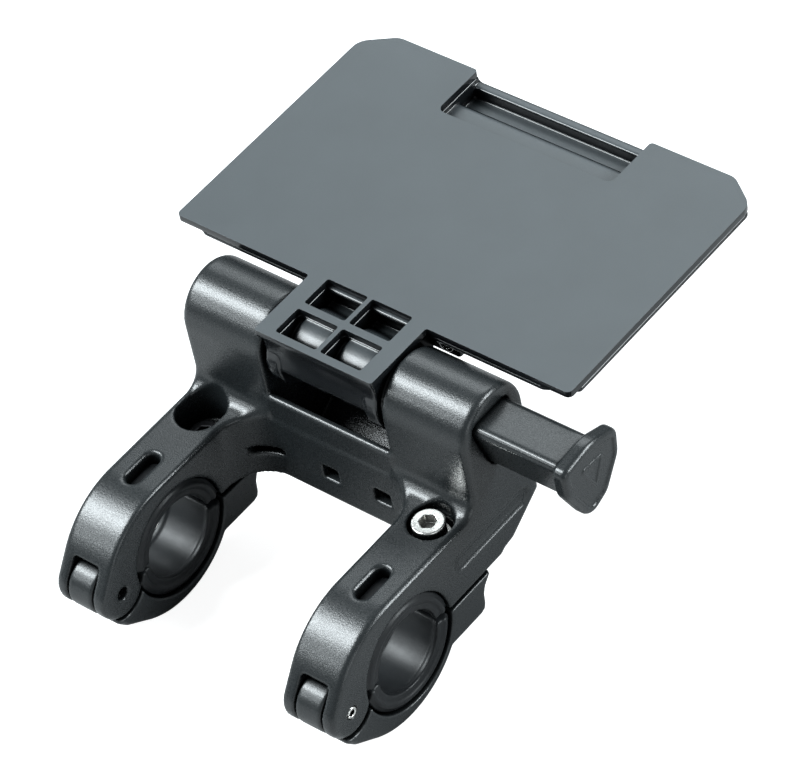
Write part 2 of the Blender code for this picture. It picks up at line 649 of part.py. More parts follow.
def make_carrier():
    """The lower moulding: stiffening frame, latch shelf, hinge lug and hub."""
    top, low = CARRIER_TOP_Z, CARRIER_LOW_Z
    frame = rounded(plate_corners(CARRIER_INSET, CARRIER_CHAMFER, CARRIER_FRONT_CUT), 1.2, 2)
    carrier = prism("plate_carrier", frame, "Z", low, top, "plate_plastic", (0, *HINGE))
    for side, sign in SIDES.items():
        for index, (near, far) in enumerate(FIELD_X):
            field = rounded(rectangle(*sorted((sign * near, sign * far)), *FIELD_Y), 2.0, 2)
            cut(carrier, prism(f"cut_field_{side}_{index}", field, "Z", low - THROUGH, top + THROUGH))
    under_skin = top - 0.4
    for index, rib in enumerate(RIBS):
        add(carrier, prism(f"guide_rib_{index}", rectangle(*rib), "Z", RIB_LOW_Z, under_skin))
    half, front, back, spine_low = SPINE
    add(carrier, prism("guide_spine", rectangle(-half, half, front, back), "Z", spine_low, under_skin))
    shelf = rectangle(-NOTCH_HALF_W - 4, NOTCH_HALF_W + 4, NOTCH_Y - 4.8, PLATE_BACK_Y - 0.2)
    add(carrier, prism("guide_shelf", shelf, "Z", SHELF_LOW_Z, low + 0.2))
    half_groove, groove_front, groove_back = LATCH_GROOVE
    channel = rectangle(-half_groove - GROOVE_WALL, half_groove + GROOVE_WALL, groove_front - GROOVE_WALL,
                        groove_back + GROOVE_WALL)
    floor_low, floor_top = GROOVE_FLOOR_Z
    add(carrier, prism("guide_channel", channel, "Z", floor_low, low + 0.2))
    groove = rounded(rectangle(-half_groove, half_groove, groove_front, groove_back), 0.8, 2)
    cut(carrier, prism("cut_latch_groove", groove, "Z", floor_top, low + THROUGH))
    cut_carrier_for_screws(carrier)
    add_lug(carrier)
    return carrier


def cut_carrier_for_screws(carrier):
    half, front, back, spine_low = SPINE
    slot = rectangle(-half - GAP, half + GAP, back, back + SPINE_WEB_H + 2 * GAP)
    cut(carrier, prism("cut_web_slot", slot, "Z", spine_low - THROUGH, CARRIER_TOP_Z + THROUGH))
    floor_low, floor_top = REAR_CUP_Z
    for side, sign in SIDES.items():
        rear = (sign * REAR_SCREW[0], REAR_SCREW[1])
        cup = circle(rear, REAR_CUP_R, 20)
        add(carrier, prism(f"guide_rear_cup_{side}", cup, "Z", floor_low, CARRIER_LOW_Z + 0.4))
        inside = circle(rear, REAR_BOSS_R + GAP, 20)
        cut(carrier, prism(f"cut_rear_cup_{side}", inside, "Z", floor_top, CARRIER_TOP_Z + THROUGH))
        hole = circle(rear, SCREW_HOLE_R, 12)
        cut(carrier, prism(f"cut_rear_hole_{side}", hole, "Z", floor_low - THROUGH, floor_top + THROUGH))
        hole = circle((sign * SPINE_SCREW[0], SPINE_SCREW[1]), SCREW_HOLE_R, 12)
        cut(carrier, prism(f"cut_spine_hole_{side}", hole, "Y", front - THROUGH, back + THROUGH))


def hub_bore_profile():
    """Clears the bushes and the pin, with a tapered seat that the lock cone wedges into."""
    half = HUB_HALF_W + THROUGH
    seat_end, seat_start = CONE_X[2] + 1.0, CONE_X[1] + 0.5
    throat = CONE_R[1] - 0.3
    return [(-half, 0), (-half, HUB_BORE_R), (seat_start, HUB_BORE_R), (seat_end, CONE_R[1] + GAP),
            (seat_end, throat), (seat_end + 0.6, throat), (seat_end + 0.6, HUB_BORE_R),
            (half, HUB_BORE_R), (half, 0)]


def add_lug(carrier):
    """The block round the hinge, cored out by four pockets down to the round hub."""
    side_x = LUG_HALF_W - LUG_LIP
    front = LUG_FRONT_Y + LUG_LIP
    back = SPINE[2] - 0.5
    under_spine = SPINE[3] + 0.2
    block = [(front, LUG_LOW_Z), (front, CARRIER_TOP_Z), (back, CARRIER_TOP_Z), (back, under_spine),
             (SPINE[1], under_spine), (HINGE[0] + 9.0, LUG_LOW_Z)]
    add(carrier, prism("guide_lug", block, "X", -side_x, side_x))
    for side, sign in SIDES.items():
        low, high = sorted((sign * CHEEK_X, sign * side_x))
        add(carrier, prism(f"guide_cheek_{side}", arc(HINGE, CHEEK_R, 165, 375, 24), "X", low, high))
    pocket_low = HINGE[1] - CHEEK_R - 2
    for index, (window_x, window_y) in enumerate(windows()):
        pocket = rectangle(*window_x, *window_y)
        cut(carrier, prism(f"cut_pocket_{index}", pocket, "Z", pocket_low, CARRIER_TOP_Z + THROUGH))
    add(carrier, prism("guide_hub", circle(HINGE, HUB_CORE_R, 40), "X", -HUB_HALF_W, HUB_HALF_W))
    for side, sign in SIDES.items():
        for index, ends in enumerate((DRUM_X, (CHEEK_X, HUB_HALF_W))):
            low, high = sorted(sign * end for end in ends)
            add(carrier, prism(f"guide_drum_{side}_{index}", circle(HINGE, HUB_R, 40), "X", low, high))
    cut(carrier, lathe("cut_hub_bore", hub_bore_profile(), "X", HINGE, 32))


def make_screw(name, axis, centre, head_along, length, pivot):
    """A small pan-head screw, its tip towards the positive end of the axis."""
    under = head_along + 1.5
    tip = under + length
    profile = [(head_along, 0), (head_along, SCREW_HEAD_R - 0.4), (head_along + 0.5, SCREW_HEAD_R),
               (under, SCREW_HEAD_R), (under, SCREW_R), (tip - 0.6, SCREW_R), (tip, 0.5), (tip, 0)]
    screw = lathe(name, profile, axis, centre, 16, "bright_steel", pivot)
    a, b = centre
    for index, (wide, tall) in enumerate(((1.3, 0.28), (0.28, 1.3))):
        cross = rectangle(a - wide, a + wide, b - tall, b + tall)
        cut(screw, prism(f"cut_{name}_{index}", cross, axis, head_along - THROUGH, head_along + 0.7))


# ---------------------------------------------------------------- push button and lock

def make_button():
    """Shaft with its lock pin and cap; the cone and its clip ride on the pin."""
    pivot = (0, *HINGE)
    shaft = prism("button_shaft", button_outline(0), "X", SHAFT_IN_X, SHAFT_END_X, "button_plastic", pivot)
    pin = [(PIN_TAIL_X, 0), (PIN_TAIL_X, PIN_R - 0.6), (PIN_TAIL_X + 0.6, PIN_R), (CLIP_GROOVE_X, PIN_R),
           (CLIP_GROOVE_X, PIN_R - 0.9), (CLIP_GROOVE_X + 1.1, PIN_R - 0.9), (CLIP_GROOVE_X + 1.1, PIN_R),
           (SHAFT_IN_X + 2, PIN_R), (SHAFT_IN_X + 2, 0)]
    add(shaft, lathe("guide_lock_pin", pin, "X", HINGE, 24))
    spigot = circle(HINGE, SPIGOT_R, 16)
    add(shaft, prism("guide_cap_spigot", spigot, "X", SHAFT_END_X - 2, CAP_X[1] - 1.6))
    cap = prism("button_cap", cap_outline(), "X", *CAP_X, "button_plastic", pivot)
    socket = circle(HINGE, SPIGOT_R + GAP, 16)
    cut(cap, prism("cut_cap_socket", socket, "X", CAP_X[0] - THROUGH, CAP_X[1] - 1.3))
    back, shoulder, nose = CONE_X
    wide, narrow = CONE_R
    inner = PIN_R + PIN_CLEAR
    ring = [(back, inner), (back, wide), (shoulder, wide), (nose, narrow), (nose, inner)]
    lathe("lock_cone", ring, "X", HINGE, 32, "inner_plastic", pivot)
    low, high = CLIP_GROOVE_X + 0.15, CLIP_GROOVE_X + 0.95
    clip = [(low, PIN_R - 0.7), (low, CLIP_R), (high, CLIP_R), (high, PIN_R - 0.7)]
    lathe("retaining_ring", clip, "X", HINGE, 24, "spring_steel", pivot)


def spring_along(turn):
    """Place along X after so many turns: two closed end coils and an even pitch between."""
    start, end = SPRING_X
    closing = SPRING_WIRE_R * 2.1
    closed = 0.8
    open_turns = SPRING_TURNS - 2 * closed
    open_pitch = (end - start - 2 * closing) / open_turns
    along = start + closing * min(turn, closed) / closed
    along += open_pitch * min(max(turn - closed, 0), open_turns)
    along += closing * max(turn - closed - open_turns, 0) / closed
    return along


def make_spring():
    """A coil round the lock pin."""
    steps_per_turn = 12
    wire_sides = 6
    bm = bmesh.new()
    rings = []
    for i in range(SPRING_TURNS * steps_per_turn + 1):
        turn = i / steps_per_turn
        angle = 2 * math.pi * turn
        outward = Vector((0, math.cos(angle), math.sin(angle)))
        centre = Vector((spring_along(turn), *HINGE)) + outward * SPRING_R
        ring = []
        for k in range(wire_sides):
            around = 2 * math.pi * k / wire_sides
            offset = outward * math.cos(around) + Vector((1, 0, 0)) * math.sin(around)
            ring.append(bm.verts.new((centre + offset * SPRING_WIRE_R) * MM))
        rings.append(ring)
    for first, second in zip(rings, rings[1:]):
        for k in range(wire_sides):
            n = (k + 1) % wire_sides
            bm.faces.new((first[k], first[n], second[n], second[k]))
    bm.faces.new(rings[0])
    bm.faces.new(rings[-1])
    finish_mesh("return_spring", bm, "spring_steel")


def make_hinge_bushes():
    for side, sign in SIDES.items():
        near, far = sign * BUSH_X[0], sign * BUSH_X[1]
        ring = [(near, BUSH_BORE_R), (near, BUSH_R), (far, BUSH_R), (far, BUSH_BORE_R)]
        lathe(f"hinge_bush_{side}", ring, "X", HINGE, 32, "inner_plastic", (0, *HINGE))
    outer, inner = PLUG_X
    plug = [(outer, 0), (outer, TOWER_BORE_R - GAP), (inner, TOWER_BORE_R - GAP), (inner, 0)]
    lathe("end_plug", plug, "X", HINGE, 28, "bracket_plastic", (0, *HINGE))


# ---------------------------------------------------------------- the whole object

def clear_scene():
    for item in list(bpy.data.objects):
        bpy.data.objects.remove(item, do_unlink=True)


def build():
    clear_scene()
    make_bracket()
    for side, sign in SIDES.items():
        x = sign * CLAMP_X
        make_jaw(side, x)
        make_bolt(side, x)
        make_insert(side, x)
        make_jaw_pin(side, x)
        make_pads(side, x)
    make_top_plate()
    make_carrier()
    pivot = (0, *HINGE)
    for side, sign in SIDES.items():
        rear = (sign * REAR_SCREW[0], REAR_SCREW[1])
        make_screw(f"rear_screw_{side}", "Z", rear, REAR_CUP_Z[0] - 1.7, 5.4, pivot)
        spine = (sign * SPINE_SCREW[0], SPINE_SCREW[1])
        make_screw(f"spine_screw_{side}", "Y", spine, SPINE[1] - 1.6, 6.8, pivot)
    make_button()
    make_spring()
    make_hinge_bushes()


build()
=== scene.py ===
"""Looks for the handlebar phone mount: moulded plastic, rubber pads and steel fasteners.

Shapes are signed distance fields, in millimetres, that are joined and cut with true fillet radii and
then turned into meshes. X runs along the handlebar, Y back along the plate, Z up. Shapes are measured
from the handlebar's axis, midway between the clamps, and shifted to the frame's own origin at the end.
"""

import json
import math

import bmesh
import bpy
import numpy as np
from mathutils import Matrix, Vector


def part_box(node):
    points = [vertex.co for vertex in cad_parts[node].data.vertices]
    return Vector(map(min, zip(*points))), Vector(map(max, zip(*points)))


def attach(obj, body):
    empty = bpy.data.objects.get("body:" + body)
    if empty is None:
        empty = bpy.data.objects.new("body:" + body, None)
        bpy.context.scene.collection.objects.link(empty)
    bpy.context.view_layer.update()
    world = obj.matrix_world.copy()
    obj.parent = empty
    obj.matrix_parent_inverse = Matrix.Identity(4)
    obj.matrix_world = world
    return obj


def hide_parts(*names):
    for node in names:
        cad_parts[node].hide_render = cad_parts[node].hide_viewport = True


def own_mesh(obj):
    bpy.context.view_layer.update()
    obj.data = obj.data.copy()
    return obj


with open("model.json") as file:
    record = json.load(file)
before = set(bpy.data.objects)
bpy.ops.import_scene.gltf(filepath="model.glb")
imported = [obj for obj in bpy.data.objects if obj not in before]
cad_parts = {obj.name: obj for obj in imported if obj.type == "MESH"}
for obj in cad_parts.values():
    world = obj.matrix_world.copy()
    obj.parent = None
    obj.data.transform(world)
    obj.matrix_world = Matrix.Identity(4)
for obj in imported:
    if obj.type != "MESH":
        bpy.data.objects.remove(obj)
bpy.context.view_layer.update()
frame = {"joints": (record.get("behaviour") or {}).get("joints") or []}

MM = 0.001
SIDES = {"left": -1, "right": 1}


# -------- places read from the frame

def joint_place(name):
    """A hinge's point, in millimetres from the frame's origin."""
    found = [joint for joint in frame["joints"] if joint["name"] == name]
    return np.array(found[0]["pos_m"]) / MM


JAW_PIN = (-21.9, 0.5)                # Y, Z of the jaws' pins from the handlebar's axis
pin_place = joint_place("jaw_right_open")
BAR_AXIS = np.array((0.0, pin_place[1] - JAW_PIN[0], pin_place[2] - JAW_PIN[1]))
HINGE = tuple((joint_place("plate_tilt") - BAR_AXIS)[1:])


def node_box(node):
    """Lowest and highest corner of a CAD node, in millimetres from the handlebar's axis."""
    low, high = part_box(node)
    return np.array(low) / MM - BAR_AXIS, np.array(high) / MM - BAR_AXIS


bracket_low, bracket_high = node_box("bracket_body")
jaw_low, jaw_high = node_box("clamp_jaw_right")
plate_low, plate_high = node_box("top_plate")
carrier_low = node_box("plate_carrier")[0]
bolt_low, bolt_high = node_box("clamp_bolt_right")
left_bolt_high = node_box("clamp_bolt_left")[1]
shaft_low, shaft_high = node_box("button_shaft")
cap_low, cap_high = node_box("button_cap")

# Clamps
CLAMP_X = (jaw_low[0] + jaw_high[0]) / 2
CLAMP_HALF = (jaw_high[0] - jaw_low[0]) / 2
OUTER_X = CLAMP_X + CLAMP_HALF
INNER_X = CLAMP_X - CLAMP_HALF
BORE_R = 15.9
PAD_R = 11.1
PAD_MID_R = 11.5
PAD_BEAD_R = 14.6
ARM_TOP = 20.6
SPLIT_TOP = 0.5
SPLIT_LOW = -0.8
NOSE = (-3.6, -4.2)
NOSE_R = ARM_TOP - NOSE[1]
EAR_R = 7.2
PIN_R = 1.6
PIN_CLEAR = 0.15
KEY_Y = 0.4                           # middle of the upper pads' keys and their slots
BOLT_Y = (bolt_low[1] + bolt_high[1]) / 2
HEAD_R = (bolt_high[0] - bolt_low[0]) / 2
HEAD_H = 5.0
HEAD_TOP = {"left": left_bolt_high[2], "right": bolt_high[2]}
MOUTH = {"left": (6.9, 6.0), "right": (5.9, 5.5)}    # half length and radius of the bolt holes' mouths
BOLT_TIP = bolt_low[2]
BOLT_PITCH = 0.8
THREAD_DEPTH = 0.28

# Towers and beam
BARREL_R = bracket_high[2] - HINGE[1]
TOWER_IN = 18.9
BEAM_FRONT = 29.5
BEAM_TOP = 28.0
WEB_R = 11.0
BACK = bracket_high[1]
BORE_HINGE_R = 7.0
POCKET_FLOOR = 24.0
PANEL = (11.0, 34.2)                  # Z and Y of the side panel's middle

# Plate
PLATE_HALF = plate_high[0]
PLATE_BACK = plate_high[1]
PLATE_TOP = plate_high[2]
PLATE_FRONT = 51.3
SHEET = 1.85
CHAMFER = (8.6, 6.1)                  # X and Y cut off the sheet's rear corners
FRAME_CHAMFER = (9.2, 6.6)
NOTCH_HALF = 27.0
NOTCH_Y = 113.4
LUG_HALF = 18.2
LUG_FRONT = plate_low[1]
WINDOWS_X = ((-13.2, -0.6), (0.7, 13.2))
WINDOWS_Y = ((32.2, 41.1), (43.3, 52.6))
HUB_R = 9.5
HUB_CORE_R = 7.9
DRUM_X = (2.3, 11.6)
SPINE_HALF = 24.5
SPINE_LOW = 41.6
HUB_BORE_R = 6.8
FRAME_TOP = PLATE_TOP - SHEET - 0.3
REAR_SCREW = (41.0, 118.5)            # X and Y, seen from below
SPINE_SCREW = (21.4, 45.6)            # X and Z, seen from the front
SCREW_PILOT_R = 1.25
GROOVE_HALF = 26.9
GROOVE_Y = (121.4, 127.3)
GROOVE_FLOOR = 44.7


# -------- plane outlines

def arc(centre, radius, start, end, steps):
    """Points on a circle from one angle to another, in degrees, both ends included."""
    angles = np.radians(np.linspace(start, end, steps + 1))
    return [(centre[0] + radius * math.cos(a), centre[1] + radius * math.sin(a)) for a in angles]


def angle_of(centre, point):
    return math.degrees(math.atan2(point[1] - centre[1], point[0] - centre[0])) % 360


def meeting(c1, r1, c2, r2, side):
    """Where two circles cross; side +1 or -1 picks the left or right of the line c1 to c2."""
    dx, dy = c2[0] - c1[0], c2[1] - c1[1]
    apart = math.hypot(dx, dy)
    along = (r1 * r1 - r2 * r2 + apart * apart) / (2 * apart)
    off = side * math.sqrt(r1 * r1 - along * along)
    return c1[0] + (along * dx - off * dy) / apart, c1[1] + (along * dy + off * dx) / apart


def tangent_angle(c1, r1, c2, r2, side):
    """Direction, the same from both centres, in which one straight line touches two circles."""
    apart = math.hypot(c2[0] - c1[0], c2[1] - c1[1])
    return angle_of(c1, c2) + side * math.degrees(math.acos((r1 - r2) / apart))


def rounded(corners, radii, steps=6):
    """A polygon with each corner rounded by its own radius."""
    points = []
    for i, (corner, radius) in enumerate(zip(corners, radii)):
        here = Vector(corner)
        back = (Vector(corners[i - 1]) - here).normalized()
        ahead = (Vector(corners[(i + 1) % len(corners)]) - here).normalized()
        half = back.angle(ahead) / 2
        reach = radius / math.tan(half)
        middle = here + (back + ahead).normalized() * radius / math.sin(half)
        first, last = here + back * reach - middle, here + ahead * reach - middle
        start = math.atan2(first.y, first.x)
        sweep = (math.atan2(last.y, last.x) - start + math.pi) % (2 * math.pi) - math.pi
        points += arc(middle, radius, math.degrees(start), math.degrees(start + sweep), steps)
    return points


def from_hinge(corners):
    return [(HINGE[0] + y, HINGE[1] + z) for y, z in corners]


# -------- distance fields

class Grid:
    """Sample points on a regular lattice; x, y and z broadcast against each other."""

    def __init__(self, low, high, step):
        self.step = step
        self.axes = [np.arange(a - 2 * step, b + 2.5 * step, step, dtype=np.float32)
                     for a, b in zip(low, high)]
        self.x = self.axes[0][:, None, None]
        self.y = self.axes[1][None, :, None]
        self.z = self.axes[2][None, None, :]


def polygon(a, b, points):
    """Signed distance to a closed polygon, negative inside, over two broadcastable coordinates."""
    a, b = np.broadcast_arrays(a, b)
    shape = a.shape
    a = a.ravel()
    b = b.ravel()
    nearest = np.full(a.shape, 1e12, np.float32)
    sign = np.ones(a.shape, np.float32)
    for (a0, b0), (a1, b1) in zip(points, points[1:] + points[:1]):
        ea, eb = a1 - a0, b1 - b0
        wa, wb = a - a0, b - b0
        share = np.clip((wa * ea + wb * eb) / (ea * ea + eb * eb), 0, 1)
        nearest = np.minimum(nearest, (wa - ea * share) ** 2 + (wb - eb * share) ** 2)
        above = b >= b0
        below = b < b1
        left = ea * wb > eb * wa
        flip = (above & below & left) | (~above & ~below & ~left)
        sign[flip] *= -1
    return (sign * np.sqrt(nearest)).reshape(shape).astype(np.float32)


def disc(a, b, centre, radius):
    return np.hypot(a - centre[0], b - centre[1]) - radius


def slab(along, low, high):
    return np.maximum(low - along, along - high)


def meet(first, second, radius=0.0):
    """Intersection whose outer edge has this radius."""
    if radius <= 0:
        return np.maximum(first, second)
    u = np.maximum(first + radius, 0)
    v = np.maximum(second + radius, 0)
    return np.hypot(u, v) + np.minimum(np.maximum(first, second) + radius, 0) - radius


def join(first, second, radius=0.0):
    """Union whose inner corner has a fillet of this radius."""
    if radius <= 0:
        return np.minimum(first, second)
    u = np.maximum(radius - first, 0)
    v = np.maximum(radius - second, 0)
    return np.maximum(np.minimum(first, second) - radius, 0) - np.hypot(u, v) + radius


def carve(body, cutter, radius=0.3):
    return meet(body, -cutter, radius)


def rounded_box(a, b, low_a, high_a, low_b, high_b, radius):
    return meet(slab(a, low_a, high_a), slab(b, low_b, high_b), radius)


def obround(a, b, centre, half_length, radius):
    """A slot outline whose length lies along b."""
    reach = half_length - radius
    over = np.maximum(np.abs(b - centre[1]) - reach, 0)
    return np.hypot(a - centre[0], over) - radius


# -------- from field to mesh

CORNERS = [(i, j, k) for i in (0, 1) for j in (0, 1) for k in (0, 1)]
EDGES = [(p, q) for p in range(8) for q in range(p + 1, 8)
         if sum(abs(m - n) for m, n in zip(CORNERS[p], CORNERS[q])) == 1]


def sample(field, places):
    """Values and gradients of the field at places given in lattice units, by linear interpolation."""
    top = np.array(field.shape) - 2
    base = np.clip(np.floor(places).astype(int), 0, top)
    f = places - base
    value = np.zeros(len(places))
    slope = np.zeros((len(places), 3))
    for corner in CORNERS:
        at = field[base[:, 0] + corner[0], base[:, 1] + corner[1], base[:, 2] + corner[2]]
        weights = [f[:, k] if corner[k] else 1 - f[:, k] for k in range(3)]
        signs = [1 if corner[k] else -1 for k in range(3)]
        value += at * weights[0] * weights[1] * weights[2]
        slope[:, 0] += at * signs[0] * weights[1] * weights[2]
        slope[:, 1] += at * weights[0] * signs[1] * weights[2]
        slope[:, 2] += at * weights[0] * weights[1] * signs[2]
    return value, slope


def surface(field, grid):
    """One vertex in each lattice cell that the surface crosses, joined into quads."""
    inside = field < 0
    count = np.zeros(np.array(field.shape) - 1, np.uint8)
    spans = {0: slice(None, -1), 1: slice(1, None)}
    for i, j, k in CORNERS:
        count += inside[spans[i], spans[j], spans[k]]
    active = (count > 0) & (count < 8)
    cells = np.argwhere(active)
    index = np.full(active.shape, -1, np.int32)
    index[active] = np.arange(len(cells))
    values = [field[cells[:, 0] + i, cells[:, 1] + j, cells[:, 2] + k] for i, j, k in CORNERS]
    total = np.zeros((len(cells), 3))
    hits = np.zeros(len(cells))
    for p, q in EDGES:
        a, b = values[p], values[q]
        crossed = (a < 0) != (b < 0)
        share = np.where(crossed, a / np.where(crossed, a - b, 1), 0)[:, None]
        point = np.array(CORNERS[p]) + share * (np.array(CORNERS[q]) - np.array(CORNERS[p]))
        total += point * crossed[:, None]
        hits += crossed
    places = cells + total / hits[:, None]
    for _ in range(2):
        value, slope = sample(field, places)
        steep = np.maximum((slope ** 2).sum(1), 0.2 * grid.step ** 2)
        places = places - np.clip((value / steep)[:, None] * slope, -0.5, 0.5)
    quads = []
    for axis in range(3):
        others = [k for k in range(3) if k != axis]
        core = [slice(None)] * 3
        for k in others:
            core[k] = slice(1, -1)
        near, far = list(core), list(core)
        near[axis] = slice(None, -1)
        far[axis] = slice(1, None)
        a, b = inside[tuple(near)], inside[tuple(far)]
        ring = []
        for first, second in ((0, 0), (1, 0), (1, 1), (0, 1)):
            pick = [slice(None)] * 3
            pick[others[0]] = spans[first]
            pick[others[1]] = spans[second]
            ring.append(index[tuple(pick)])
        for crossed, order in ((a & ~b, (0, 1, 2, 3)), (~a & b, (3, 2, 1, 0))):
            faces = np.stack([ring[n][crossed] for n in order], 1)
            quads.append(faces if axis != 1 else faces[:, ::-1])
    start = np.array([line[0] for line in grid.axes])
    return start + places * grid.step, np.concatenate(quads)


def mesh_from(name, points, quads):
    mesh = bpy.data.meshes.new(name)
    mesh.vertices.add(len(points))
    mesh.vertices.foreach_set("co", ((points + BAR_AXIS) * MM).astype(np.float32).ravel())
    mesh.loops.add(quads.size)
    mesh.loops.foreach_set("vertex_index", quads.astype(np.int32).ravel())
    mesh.polygons.add(len(quads))
    mesh.polygons.foreach_set("loop_start", np.arange(0, quads.size, 4, dtype=np.int32))
    mesh.update(calc_edges=True)
    mesh.validate()
    mesh.shade_smooth()
    return mesh


def mesh_of(bm, name):
    mesh = bpy.data.meshes.new(name)
    bm.to_mesh(mesh)
    bm.free()
    return mesh


def add_object(name, data):
    made = bpy.data.objects.new(name, data)
    bpy.context.scene.collection.objects.link(made)
    return made


def add_piece(name, mesh, look, body, slot, *nodes):
    """Links a mesh as a piece that rides on a body and stands for CAD nodes."""
    piece = add_object(name, mesh)
    mesh.materials.append(look)
    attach(piece, body)
    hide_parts(*nodes)
    return piece


def moulded(name, field, grid, look, body, slot, *nodes):
    points, quads = surface(field, grid)
    return add_piece(name, mesh_from(name, points, quads), look, body, slot, *nodes)


# -------- materials

def new_material(name):
    made = bpy.data.materials.new(name)
    made.use_nodes = True
    return made, made.node_tree.nodes, made.node_tree.links


def noise(nodes, links, place, scale, detail=4.0, roughness=0.6):
    node = nodes.new("ShaderNodeTexNoise")
    node.inputs["Scale"].default_value = scale
    node.inputs["Detail"].default_value = detail
    node.inputs["Roughness"].default_value = roughness
    links.new(place, node.inputs["Vector"])
    return node.outputs["Fac"]


def ramp(nodes, links, value, stops):
    """Maps a value through colour stops given as (position, grey or colour)."""
    node = nodes.new("ShaderNodeValToRGB")
    elements = node.color_ramp.elements
    while len(elements) < len(stops):
        elements.new(0.5)
    for element, (position, colour) in zip(elements, stops):
        element.position = position
        element.color = (*colour, 1) if isinstance(colour, tuple) else (colour, colour, colour, 1)
    links.new(value, node.inputs["Fac"])
    return node.outputs["Color"]


def mix(nodes, links, factor, first, second, blend="MIX"):
    node = nodes.new("ShaderNodeMix")
    node.data_type = "RGBA"
    node.blend_type = blend
    for socket, value in ((node.inputs[0], factor), (node.inputs[6], first), (node.inputs[7], second)):
        if isinstance(value, (int, float)):
            socket.default_value = value
        elif isinstance(value, tuple):
            socket.default_value = (*value, 1)
        else:
            links.new(value, socket)
    return node.outputs[2]


def bump(nodes, links, height, strength, distance, normal=None):
    node = nodes.new("ShaderNodeBump")
    node.inputs["Strength"].default_value = strength
    node.inputs["Distance"].default_value = distance
    links.new(height, node.inputs["Height"])
    if normal:
        links.new(normal, node.inputs["Normal"])
    return node.outputs["Normal"]


def plastic(name, colour, roughness, grain=0.4, rubbed=0.35, sides=None):
    """Moulded nylon: spark-eroded grain, rubbed edges, painted shade in recesses and, if given, a painted
    darker colour with a glossier finish on faces that are not level, so that level tops look lit.
    """
    made, nodes, links = new_material(name)
    shader = nodes["Principled BSDF"]
    coordinates = nodes.new("ShaderNodeTexCoord")
    place = coordinates.outputs["Object"]
    clouds = noise(nodes, links, place, 60.0, 3.0)
    light = tuple(c * 1.04 for c in colour)
    dark = tuple(c * 0.96 for c in colour)
    base = ramp(nodes, links, clouds, [(0.35, dark), (0.65, light)])
    corner = nodes.new("ShaderNodeNewGeometry").outputs["Pointiness"]
    edges = ramp(nodes, links, corner, [(0.52, 0.0), (0.60, rubbed)])
    pale = tuple(min(c * 1.9 + 0.015, 1) for c in colour)
    base = mix(nodes, links, edges, base, pale)
    fine = noise(nodes, links, place, 3000.0, 2.0, 0.55)
    finish = ramp(nodes, links, fine, [(0.35, roughness - 0.06), (0.65, roughness + 0.06)])
    # Painted shade: faces that are not level take the darker sides colour, so the level top looks lit; they
    # also get a glossier finish.
    if sides:
        split = nodes.new("ShaderNodeSeparateXYZ")
        links.new(coordinates.outputs["Normal"], split.inputs[0])
        level = ramp(nodes, links, split.outputs["Z"], [(0.80, 0.0), (0.98, 1.0)])
        base = mix(nodes, links, level, sides, base)
        finish = mix(nodes, links, level, (0.18, 0.18, 0.18), finish)
    # Painted shade: ambient occlusion darkens the colour and dims the reflection in recesses and between
    # parts.
    shelter = nodes.new("ShaderNodeAmbientOcclusion")
    shelter.samples = 6
    shelter.inputs["Distance"].default_value = 0.007
    painted_recess_shade = ramp(nodes, links, shelter.outputs["AO"], [(0.30, 0.12), (0.80, 1.0)])
    links.new(mix(nodes, links, 1.0, base, painted_recess_shade, "MULTIPLY"), shader.inputs["Base Color"])
    gloss_with_painted_shade = mix(nodes, links, 1.0, painted_recess_shade, (0.5, 0.5, 0.5), "MULTIPLY")
    links.new(gloss_with_painted_shade, shader.inputs["Specular IOR Level"])
    links.new(finish, shader.inputs["Roughness"])
    relief = bump(nodes, links, fine, grain, 0.00005)
    links.new(relief, shader.inputs["Normal"])
    return made


def rubber(name):
    made, nodes, links = new_material(name)
    shader = nodes["Principled BSDF"]
    place = nodes.new("ShaderNodeTexCoord").outputs["Object"]
    dust = noise(nodes, links, place, 90.0, 6.0, 0.7)
    base = ramp(nodes, links, dust, [(0.4, (0.006, 0.007, 0.008)), (0.75, (0.011, 0.012, 0.013))])
    links.new(base, shader.inputs["Base Color"])
    finish = ramp(nodes, links, noise(nodes, links, place, 300.0), [(0.3, 0.38), (0.7, 0.46)])
    links.new(finish, shader.inputs["Roughness"])
    shader.inputs["Specular IOR Level"].default_value = 0.28
    grain = noise(nodes, links, place, 900.0, 3.0)
    links.new(bump(nodes, links, grain, 0.25, 0.00005), shader.inputs["Normal"])
    return made


def metal(name, colour, roughness, brushed=(1.0, 1.0, 1.0), tarnish=0.0):
    """Turned or plated metal: tool marks stretched along one axis, stains, and painted shade in its
    recesses.
    """
    made, nodes, links = new_material(name)
    shader = nodes["Principled BSDF"]
    shader.inputs["Metallic"].default_value = 1.0
    place = nodes.new("ShaderNodeTexCoord").outputs["Object"]
    scaled = nodes.new("ShaderNodeMapping")
    scaled.inputs["Scale"].default_value = brushed
    links.new(place, scaled.inputs["Vector"])
    marks = noise(nodes, links, scaled.outputs["Vector"], 700.0, 5.0, 0.65)
    stains = noise(nodes, links, place, 160.0, 4.0)
    dull = tuple(c * (1 - 0.55 * tarnish) for c in colour)
    base = ramp(nodes, links, stains, [(0.35, dull), (0.62, colour)])
    # Painted shade: ambient occlusion darkens the colour in the socket and other recesses.
    shelter = nodes.new("ShaderNodeAmbientOcclusion")
    shelter.inputs["Distance"].default_value = 0.004
    painted_hollow_shade = ramp(nodes, links, shelter.outputs["AO"], [(0.15, 0.15), (0.60, 1.0)])
    base = mix(nodes, links, 1.0, base, painted_hollow_shade, "MULTIPLY")
    links.new(base, shader.inputs["Base Color"])
    finish = ramp(nodes, links, marks, [(0.3, roughness), (0.7, roughness + 0.08)])
    links.new(finish, shader.inputs["Roughness"])
    links.new(bump(nodes, links, marks, 0.15, 0.00002), shader.inputs["Normal"])
    return made


